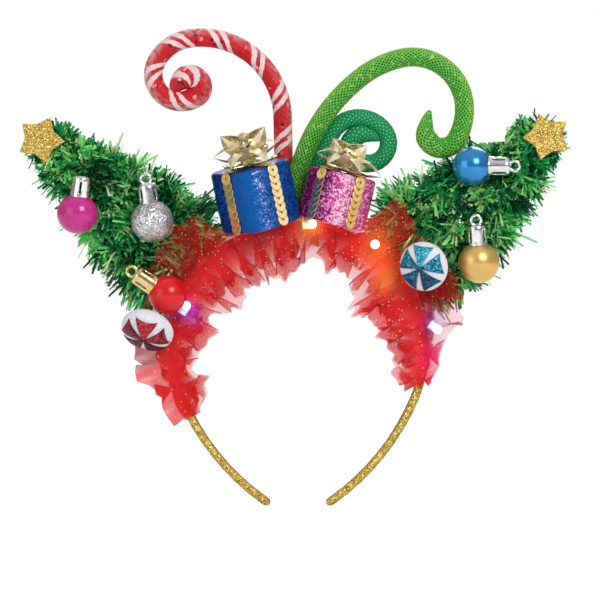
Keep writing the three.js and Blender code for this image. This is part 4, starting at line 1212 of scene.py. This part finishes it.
# painted light, shade and sparkle of the film at turns about the box's upright, counted from the front to the
# right
filmLights = {
    "blue": {"turn": (-180, -62, -48, -30, -8, 0, 8, 20, 30, 60, 180),
             "light": (0.2, 0.24, 0.38, 0.46, 0.46, 0.56, 0.64, 0.56, 0.46, 0.36, 0.2),
             "sparkle": (0.5, 0.5, 0.3, 0.05, 0.1, 0.5, 0.8, 0.6, 0.5, 0.5, 0.5)},
    "pink": {"turn": (-180, -60, -30, -14, 0, 10, 22, 34, 60, 180),
             "light": (0.2, 0.22, 0.34, 0.48, 0.64, 0.76, 0.66, 0.54, 0.52, 0.2),
             "sparkle": (0.7, 0.7, 0.8, 0.7, 0.6, 0.6, 0.7, 0.7, 0.6, 0.6)},
}
filmInks = {
    "blue": {"flakes": 1500, "tilt": 0.2,
             "stops": [(0.0, (0.001, 0.008, 0.07)), (0.25, (0.002, 0.025, 0.20)), (0.45, (0.002, 0.09, 0.36)),
                       (0.65, (0.01, 0.13, 0.45)), (0.85, (0.14, 0.22, 0.62)), (1.0, (0.55, 0.6, 0.92))]},
    "pink": {"flakes": 1300, "tilt": 0.25,
             "stops": [(0.0, (0.03, 0.003, 0.10)), (0.2, (0.14, 0.006, 0.12)), (0.42, (0.52, 0.03, 0.2)),
                       (0.62, (0.76, 0.16, 0.4)), (0.82, (0.9, 0.5, 0.7)), (1.0, (1.0, 0.92, 0.97))]},
}
sequin = {"radius": 3.3, "inner": 2.75, "depth": 0.3, "tilt": 11, "sides": 16, "gap": 0.45, "over": 0.9,
          "rings": ((1.8, 0.24), (0.35, 0.06)),  # inset and drop of the cup and of the thread's dimple
          "lidInset": 1.5, "lidLift": 0.55, "lidTilt": -6, "bowRoom": 4}
# painted reflections: colours that a string of sequins reflects from beside it and their shares, from its
# foot to its top, by quarter turn of the box
trimTints = {
    "blue": {2: [(0.46, 0.05, 0.015, 0.8), (0.46, 0.1, 0.015, 0.8), (0.4, 0.22, 0.03, 0.8),
                 (0.16, 0.14, 0.02, 0.85), (0.05, 0.15, 0.03, 0.8), (0.14, 0.16, 0.02, 0.8),
                 (0.66, 0.36, 0.08, 0.75)],
             3: [(1.0, 0.84, 0.46, 0.6)]},
    "pink": {2: [(0.01, 0.06, 0.2, 0.93), (0.01, 0.04, 0.18, 0.93), (0.01, 0.025, 0.14, 0.93),
                 (0.01, 0.02, 0.1, 0.93), (0.85, 0.55, 0.14, 0.7)],
             3: [(0.76, 0.38, 0.06, 0.7), (0.86, 0.5, 0.1, 0.6)]},
}
trimHoles = {"blue": {2: (0.7, 0.28, 0.04, 0.9)}, "pink": {2: (0.9, 0.42, 0.08, 0.9)}}
# rim: a painted shade along each sequin's outer edge
trimPlain = {"tint": (1.0, 0.8, 0.4, 0.0), "rim": (0.3, 0.16, 0.03, 0.65), "hole": (0.16, 0.08, 0.01, 0.95)}
bow = {"ribbon": 9.6, "rise": 4.2, "sag": 1.2, "crease": 0.2, "sagCrease": 0.4, "root": 2.5,
       "rootWidth": 0.16, "pinch": 0.06, "swellPower": 0.9, "hub": 1.8, "seat": 1.3, "wall": 0.22,
       "across": 8, "along": 28,
       "hubSides": 24}
hubProfile = [(0, -2.4), (3.2, -2.4), (4.0, -1.4), (3.6, 0.4), (2.4, 1.2), (0.8, 0.9), (0, 0.7)]
bowLoops = {  # azimuth, elevation, length, roll
    "blue": [(188, 16, 17.5, 10), (354, 20, 17.5, -12), (236, -2, 16, 8), (304, 0, 16, -8), (212, 50, 20, 22),
             (322, 48, 21.5, -20), (80, 56, 17, 0), (268, 34, 15, 6), (120, 14, 15, 0), (40, 14, 15, 0)],
    "pink": [(190, 14, 16, 8), (352, -2, 19, -10), (232, -2, 14, 8), (304, -4, 15, -8), (206, 52, 16, 24),
             (326, 54, 16, -24), (84, 50, 15, 0), (268, 30, 15, 6), (120, 10, 14, 0), (40, 10, 14, 0)],
}


def filmMaterial(name):
    # glitter film: flakes whose tone and contrast follow the painted light, shade and sparkle at each point
    ink = filmInks[name]
    material, tree, shader = newMaterial(f"{name}_film", **{"Metallic": 0.3, "Roughness": 0.34,
                                                            "Specular IOR Level": 0.15})
    flakes = useGroup(tree, flakesGroup, Scale=ink["flakes"], Tilt=ink["tilt"])
    patches = useGroup(tree, crinkleGroup, Scale=260, Sharpness=0.6)["Patches"]
    mixed = mathNode(tree, "SUBTRACT", mathNode(tree, "ADD", flakes["Flake"], patches), 1.0)
    shade = mathNode(tree, "MULTIPLY_ADD", mixed, readValue(tree, "sparkle"), readValue(tree, "light"))
    colourBy(tree, shader, shade, ink["stops"])
    tree.links.new(flakes["Normal"], shader["Normal"])
    return material


def sequinMaterial():
    material, tree, shader = newMaterial("sequin_gold", Metallic=0.2, Roughness=0.32)
    crinkle = useGroup(tree, crinkleGroup, Scale=900, Sharpness=0.8)
    gold = rampNode(tree, crinkle["Patches"], [(0.3, (0.92, 0.66, 0.24)), (0.7, (1.0, 0.82, 0.42))])
    # tint: painted reflections from beside each string, and a painted shade on each sequin's rim
    tint = addNode(tree, "ShaderNodeAttribute", attribute_name="tint").outputs
    tree.links.new(mixColours(tree, tint["Alpha"], gold, tint["Color"]), shader["Base Color"])
    addBump(tree, shader, crinkle["Height"], 0.2, 0.2)
    return material


sequinGold = sequinMaterial()
bowFoil = foilMaterial("bow_foil", [(0.3, (0.78, 0.66, 0.36)), (0.7, (0.98, 0.92, 0.7))], 240, 0.35, 0.5,
                       Metallic=0.75, Roughness=0.26)


def giftMatrix(gift):
    lean = math.radians(gift["lean"])
    out = hoop["top"] - gift["sunk"]
    x = out * math.sin(lean) + gift["along"] * math.cos(lean)
    z = hoop["crownZ"] + out * math.cos(lean) - gift["along"] * math.sin(lean)
    tipped = Matrix.Rotation(lean, 4, "Y") @ rotation(gift["tip"], "X")
    return Matrix.Translation(Vector((x, gift["y"], z)) * mm) @ tipped


def edgeRise(edge):
    return abs(edge.verts[0].co.z - edge.verts[1].co.z)


def makeGiftBox(gift):
    side, height = gift["side"] * mm, gift["height"] * mm
    bm = bmesh.new()
    bmesh.ops.create_cube(bm, size=1)
    bmesh.ops.scale(bm, verts=bm.verts, vec=(side, side, height))
    bmesh.ops.translate(bm, verts=bm.verts, vec=(0, 0, height / 2))
    upright = [edge for edge in bm.edges if edgeRise(edge) > height / 2]
    bmesh.ops.bevel(bm, geom=upright, offset=gift["corner"] * mm, segments=boxShape["cornerSegments"],
                    profile=0.5, affect="EDGES", material=-1)
    rim = [edge for edge in bm.edges if edgeRise(edge) < height / 9]
    bmesh.ops.bevel(bm, geom=rim, offset=boxShape["rim"] * mm, segments=boxShape["rimSegments"], profile=0.5,
                    affect="EDGES", material=-1)
    walls = [edge for edge in bm.edges if edgeRise(edge) > height / 2]
    bmesh.ops.subdivide_edges(bm, edges=walls, cuts=boxShape["wallCuts"], use_grid_fill=True)
    flats = [edge for edge in bm.edges if edge.calc_length() > side / 2.5]
    bmesh.ops.subdivide_edges(bm, edges=flats, cuts=boxShape["topCuts"], use_grid_fill=True)
    name, count, band = gift["name"], boxShape["waves"], boxShape["flatBand"]
    rng = np.random.default_rng(len(name))
    waves = rng.uniform(*boxShape["waveRange"], (count, 3)) * rng.choice([-1, 1], (count, 3))
    shifts = rng.uniform(0, 2 * np.pi, count)
    for vert in bm.verts:
        spot = np.array(vert.co) / mm
        crumple = np.sin(waves @ spot + shifts).mean() * boxShape["crumple"]
        bulge = boxShape["bulge"] * math.sin(math.pi * min(max(spot[2] / gift["height"], 0), 1))
        outward = Vector((vert.co.x, vert.co.y, 0)).normalized()
        if band < spot[2] < gift["height"] - band:
            vert.co += outward * (bulge + crumple) * mm
    bmesh.ops.transform(bm, verts=bm.verts, matrix=rotation(gift["yaw"], "Z"))
    turns = [math.degrees(math.atan2(vert.co.x, -vert.co.y)) for vert in bm.verts]
    bmesh.ops.transform(bm, verts=bm.verts, matrix=giftMatrix(gift))
    piece = makePiece(f"gift_{name}_wrap", bm, filmMaterial(name), [f"gift_{name}"])
    # painted light, shade and sparkle by turn about the box's upright
    for key in ("light", "sparkle"):
        writeValues(piece, key, np.interp(turns, filmLights[name]["turn"], filmLights[name][key]))


def addSequin(bm, matrix, tint, hole):
    # a cupped disc with a painted shade on its rim and a dimple for its thread
    layer = bm.verts.layers.float_color["tint"]
    made = bmesh.ops.create_cone(bm, cap_ends=True, segments=sequin["sides"], radius1=sequin["radius"] * mm,
                                 radius2=sequin["inner"] * mm, depth=sequin["depth"] * mm)
    faces = {face for vert in made["verts"] for face in vert.link_faces}
    top = max(faces, key=lambda face: face.calc_center_median().z)
    discVerts = set(made["verts"])
    for inset, drop in sequin["rings"]:
        ring = bmesh.ops.inset_region(bm, faces=[top], thickness=inset * mm)
        bmesh.ops.translate(bm, verts=top.verts[:], vec=(0, 0, -drop * mm))
        discVerts |= {vert for face in ring["faces"] for vert in face.verts}
    foot = min(vert.co.z for vert in discVerts)
    for vert in discVerts:
        vert[layer] = trimPlain["rim"] if vert.co.z < foot + 1e-6 and vert not in top.verts else tint
    for vert in top.verts:
        vert[layer] = hole
    bmesh.ops.transform(bm, verts=list(discVerts), matrix=matrix)


def makeTrim(gift):
    # strings of sequins up the four faces and over the lid towards the bow
    name, count = gift["name"], gift["sequins"]
    bm = bmesh.new()
    bm.verts.layers.float_color.new("tint")
    half = gift["side"] / 2 + boxShape["bulge"] + sequin["gap"]
    pitch = (gift["height"] + sequin["over"] - 2 * sequin["radius"]) / (count - 1)
    for quarter in range(4):
        tints = trimTints[name].get(quarter, [trimPlain["tint"]])
        hole = trimHoles[name].get(quarter, trimPlain["hole"])
        matrix = giftMatrix(gift) @ rotation(90 * quarter + gift["yaw"], "Z")
        rows = [((half, 0, sequin["radius"] + i * pitch), 90 - sequin["tilt"], tints[i * len(tints) // count])
                for i in range(count)]
        lid = gift["height"] + sequin["lidLift"]
        rows += [((half - sequin["lidInset"] - i * pitch, 0, lid), sequin["lidTilt"], tints[-1])
                 for i in range(round((half - sequin["bowRoom"]) / pitch))]
        for spot, tilt, tint in rows:
            placed = matrix @ Matrix.Translation(Vector(spot) * mm) @ rotation(tilt, "Y")
            addSequin(bm, placed, tint, hole)
    bmesh.ops.recalc_face_normals(bm, faces=bm.faces)
    makePiece(f"gift_{name}_sequins", bm, sequinGold, [f"gift_{name}_trim"], "sequins", smooth=False)


def makeLoop(length):
    # a ribbon from the hub out to a point and back under itself
    def place(u, v):
        share = 1 - np.abs(2 * v - 1)
        swell = np.sin(np.pi * share ** bow["swellPower"])
        opened = bow["rootWidth"] + (1 - bow["rootWidth"]) * share
        wide = bow["ribbon"] * np.maximum(bow["pinch"], np.sin(np.pi * opened))
        aside = u - 0.5
        ridge = bow["crease"] * wide * (1 - 2 * np.abs(aside))
        z = np.where(v < 0.5, bow["rise"] * swell + ridge, -bow["sag"] * swell - bow["sagCrease"] * ridge)
        x = bow["root"] + share * (length - bow["root"])
        return np.stack([x, wide * aside, z], axis=1) * mm

    return wrapGrid(bow["across"], bow["along"], place)


def makeBow(gift):
    name = gift["name"]
    whole = bmesh.new()
    whole.loops.layers.uv.new("uv")
    seat = giftMatrix(gift) @ Matrix.Translation((0, 0, (gift["height"] + bow["seat"] + bow["hub"]) * mm))
    for azimuth, elevation, length, roll in bowLoops[name]:
        loop = makeLoop(length)
        turn = rotation(azimuth, "Z") @ rotation(-elevation, "Y") @ rotation(roll, "X")
        bmesh.ops.transform(loop, verts=loop.verts, matrix=seat @ turn)
        joinInto(whole, loop)
    foil = makePiece(f"bow_{name}_foil", whole, bowFoil, [f"bow_{name}"], smooth=False)
    addSolidify(foil, bow["wall"])
    hub = lathe(hubProfile, bow["hubSides"])
    bmesh.ops.transform(hub, verts=hub.verts, matrix=seat)
    makePiece(f"bow_{name}_hub", hub, bowFoil)


for gift in gifts:
    makeGiftBox(gift)
    makeTrim(gift)
    makeBow(gift)
print("gifts done")

# candies: puffed white pads with five glitter petals

candies = [
    {"name": "blue", "place": (62.4, -18.6, -18.3), "yaw": -20, "pitch": 10, "spin": 82, "grow": 1.0},
    {"name": "red", "place": (-74.8, -23.8, -49.6), "yaw": -26, "pitch": 50, "spin": 66, "grow": 1.07},
]
pad = {"radius": 12.4, "halfHeight": 6.2, "fullness": 2.4, "seam": 0.35, "seamWidth": 0.07,
       "around": 64, "along": 48}
# shades: painted light and shade per petal, the upper petal lighter and the lower ones darker
petal = {"count": 5, "halfAngle": 26, "reach": 11.8, "start": 0.4, "lift": 0.35, "crown": 0.25, "wall": 0.5,
         "across": 10, "along": 16, "flakes": 1200, "tilt": 0.5, "shades": (0.28, -0.15, -0.24, -0.48, -0.02)}
petalInks = {
    "blue": ("teal_glitter", [(0.0, (0.003, 0.02, 0.07)), (0.35, (0.004, 0.10, 0.22)),
                              (0.7, (0.012, 0.32, 0.48)), (1.0, (0.06, 0.5, 0.62))]),
    "red": ("red_glitter", [(0.0, (0.02, 0.0, 0.003)), (0.35, (0.10, 0.003, 0.008)),
                            (0.7, (0.34, 0.008, 0.02)), (1.0, (0.72, 0.03, 0.06))]),
}
padWhite = foilMaterial("candy_white", [(0.3, (0.68, 0.68, 0.74)), (0.7, (0.8, 0.8, 0.85))], 900, 0.3, 0.25,
                        sharpness=0.3, **{"Roughness": 0.8, "Sheen Weight": 0.1})


def candyMatrix(candy):
    turn = rotation(candy["yaw"], "Z") @ rotation(90 + candy["pitch"], "X") @ rotation(candy["spin"], "Z")
    return Matrix.Translation(Vector(candy["place"]) * mm) @ turn @ Matrix.Scale(candy["grow"], 4)


def padPlaces(u, v):
    turn = np.pi * (v - 0.5)
    radius = pad["radius"] * np.abs(np.cos(turn)) ** (2 / pad["fullness"])
    radius = radius - pad["seam"] * np.exp(-((turn / pad["seamWidth"]) ** 2))
    return ringPlaces(radius, 2 * np.pi * u, pad["halfHeight"] * np.sin(turn)) * mm


def makePetal(middle):
    # a wedge of foam that lies on the pad's face, about a direction in degrees
    def place(u, v):
        aside = np.radians(petal["halfAngle"]) * (2 * u - 1)
        end = petal["reach"] * math.cos(math.radians(petal["halfAngle"])) / np.cos(aside)
        radius = petal["start"] + v * (end - petal["start"])
        share = np.clip(radius / pad["radius"], 0, 1)
        height = pad["halfHeight"] * np.sqrt(1 - share ** pad["fullness"])
        height = height + petal["lift"] + petal["crown"] * np.cos(np.pi * (u - 0.5))
        return ringPlaces(radius, math.radians(middle) + aside, height) * mm

    return wrapGrid(petal["across"], petal["along"], place)


def makeCandy(candy):
    name = candy["name"]
    matrix = candyMatrix(candy)
    bm = wrapGrid(pad["around"], pad["along"], padPlaces, closed=True)
    bmesh.ops.transform(bm, verts=bm.verts, matrix=matrix)
    puff = makePiece(f"candy_{name}_pad", bm, padWhite, [f"candy_{name}"])
    whole = bmesh.new()
    whole.loops.layers.uv.new("uv")
    for i in range(petal["count"]):
        joinInto(whole, makePetal(360 * i / petal["count"]))
    bmesh.ops.transform(whole, verts=whole.verts, matrix=matrix)
    look = glitterMaterial(*petalInks[name], petal["flakes"], petal["tilt"], "shade",
                           Metallic=0.4, Roughness=0.38)
    leaves = makePiece(f"candy_{name}_glitter", whole, look, [f"candy_{name}_petals"])
    # painted light and shade, one value per petal
    writeValues(leaves, "shade", np.repeat(petal["shades"], len(leaves.data.vertices) // petal["count"]))
    addSolidify(leaves, petal["wall"])


for candy in candies:
    makeCandy(candy)
print("candies done")

# lamps: clear domes with a bright core

lamps = [
    {"node": "led_1", "place": (5.5, -11.2, 2.7), "turn": 4, "nod": 0, "slot": "lamp_warm", "power": 7.0,
     "glow": (1.0, 0.9, 0.62), "edge": (0.5, 0.9, 0.25)},
    {"node": "led_2", "place": (38.2, -13.6, -7.3), "turn": 0, "nod": 90, "slot": "lamp_warm", "power": 7.0,
     "glow": (1.0, 0.86, 0.55), "edge": (1.0, 0.6, 0.15)},
    {"node": "led_3", "place": (-56.5, -11.5, -39), "turn": 60, "nod": 0, "slot": "lamp_cool", "power": 6.0,
     "glow": (0.74, 0.8, 1.0), "edge": (0.5, 0.4, 1.0)},
    {"node": "led_4", "place": (68.2, -13, -48.8), "turn": -36, "nod": 0, "slot": "lamp_cool", "power": 6.0,
     "glow": (0.84, 0.84, 1.0), "edge": (0.5, 0.3, 1.0)},
]
lampShape = {"half": 3.5, "sides": 24, "footLight": 0.04, "neckLight": 0.16,
             "foot": 0.35, "neck": 0.6, "dome": 0.84}
lampProfile = [(0, -3.5), (2.0, -3.5), (2.3, -3.3), (2.3, -2.6), (2.2, -2.5), (2.2, -1), (2.2, 0.6),
               (2.15, 1.5), (1.9, 2.4), (1.4, 3.1), (0.75, 3.42), (0, 3.5)]


def dimmed(colour, share):
    return tuple(share * part for part in colour)


def lampMaterial(lamp):
    # the light sits in the dome and leaves the foot dim
    material, tree, shader = newMaterial(f"{lamp['node']}_glow", **{
        "Base Color": (*lamp["glow"], 1), "Roughness": 0.15, "Coat Weight": 0.4,
        "Emission Strength": lamp["power"]})
    foot, neck = dimmed(lamp["edge"], lampShape["footLight"]), dimmed(lamp["glow"], lampShape["neckLight"])
    stops = [(0.0, foot), (lampShape["foot"], foot), (lampShape["neck"], neck),
             (lampShape["dome"], lamp["glow"])]
    tree.links.new(rampNode(tree, readValue(tree, "dome"), stops), shader["Emission Color"])
    return material


for lamp in lamps:
    bm = lathe(lampProfile, lampShape["sides"])
    heights = [(vert.co.z / mm / lampShape["half"] + 1) / 2 for vert in bm.verts]
    matrix = standing(heading(lamp["turn"], lamp["nod"]), lamp["place"])
    bmesh.ops.transform(bm, verts=bm.verts, matrix=matrix)
    bulb = makePiece(f"{lamp['node']}_lamp", bm, lampMaterial(lamp), [lamp["node"]], lamp["slot"])
    writeValues(bulb, "dome", heights)
print("lamps done")
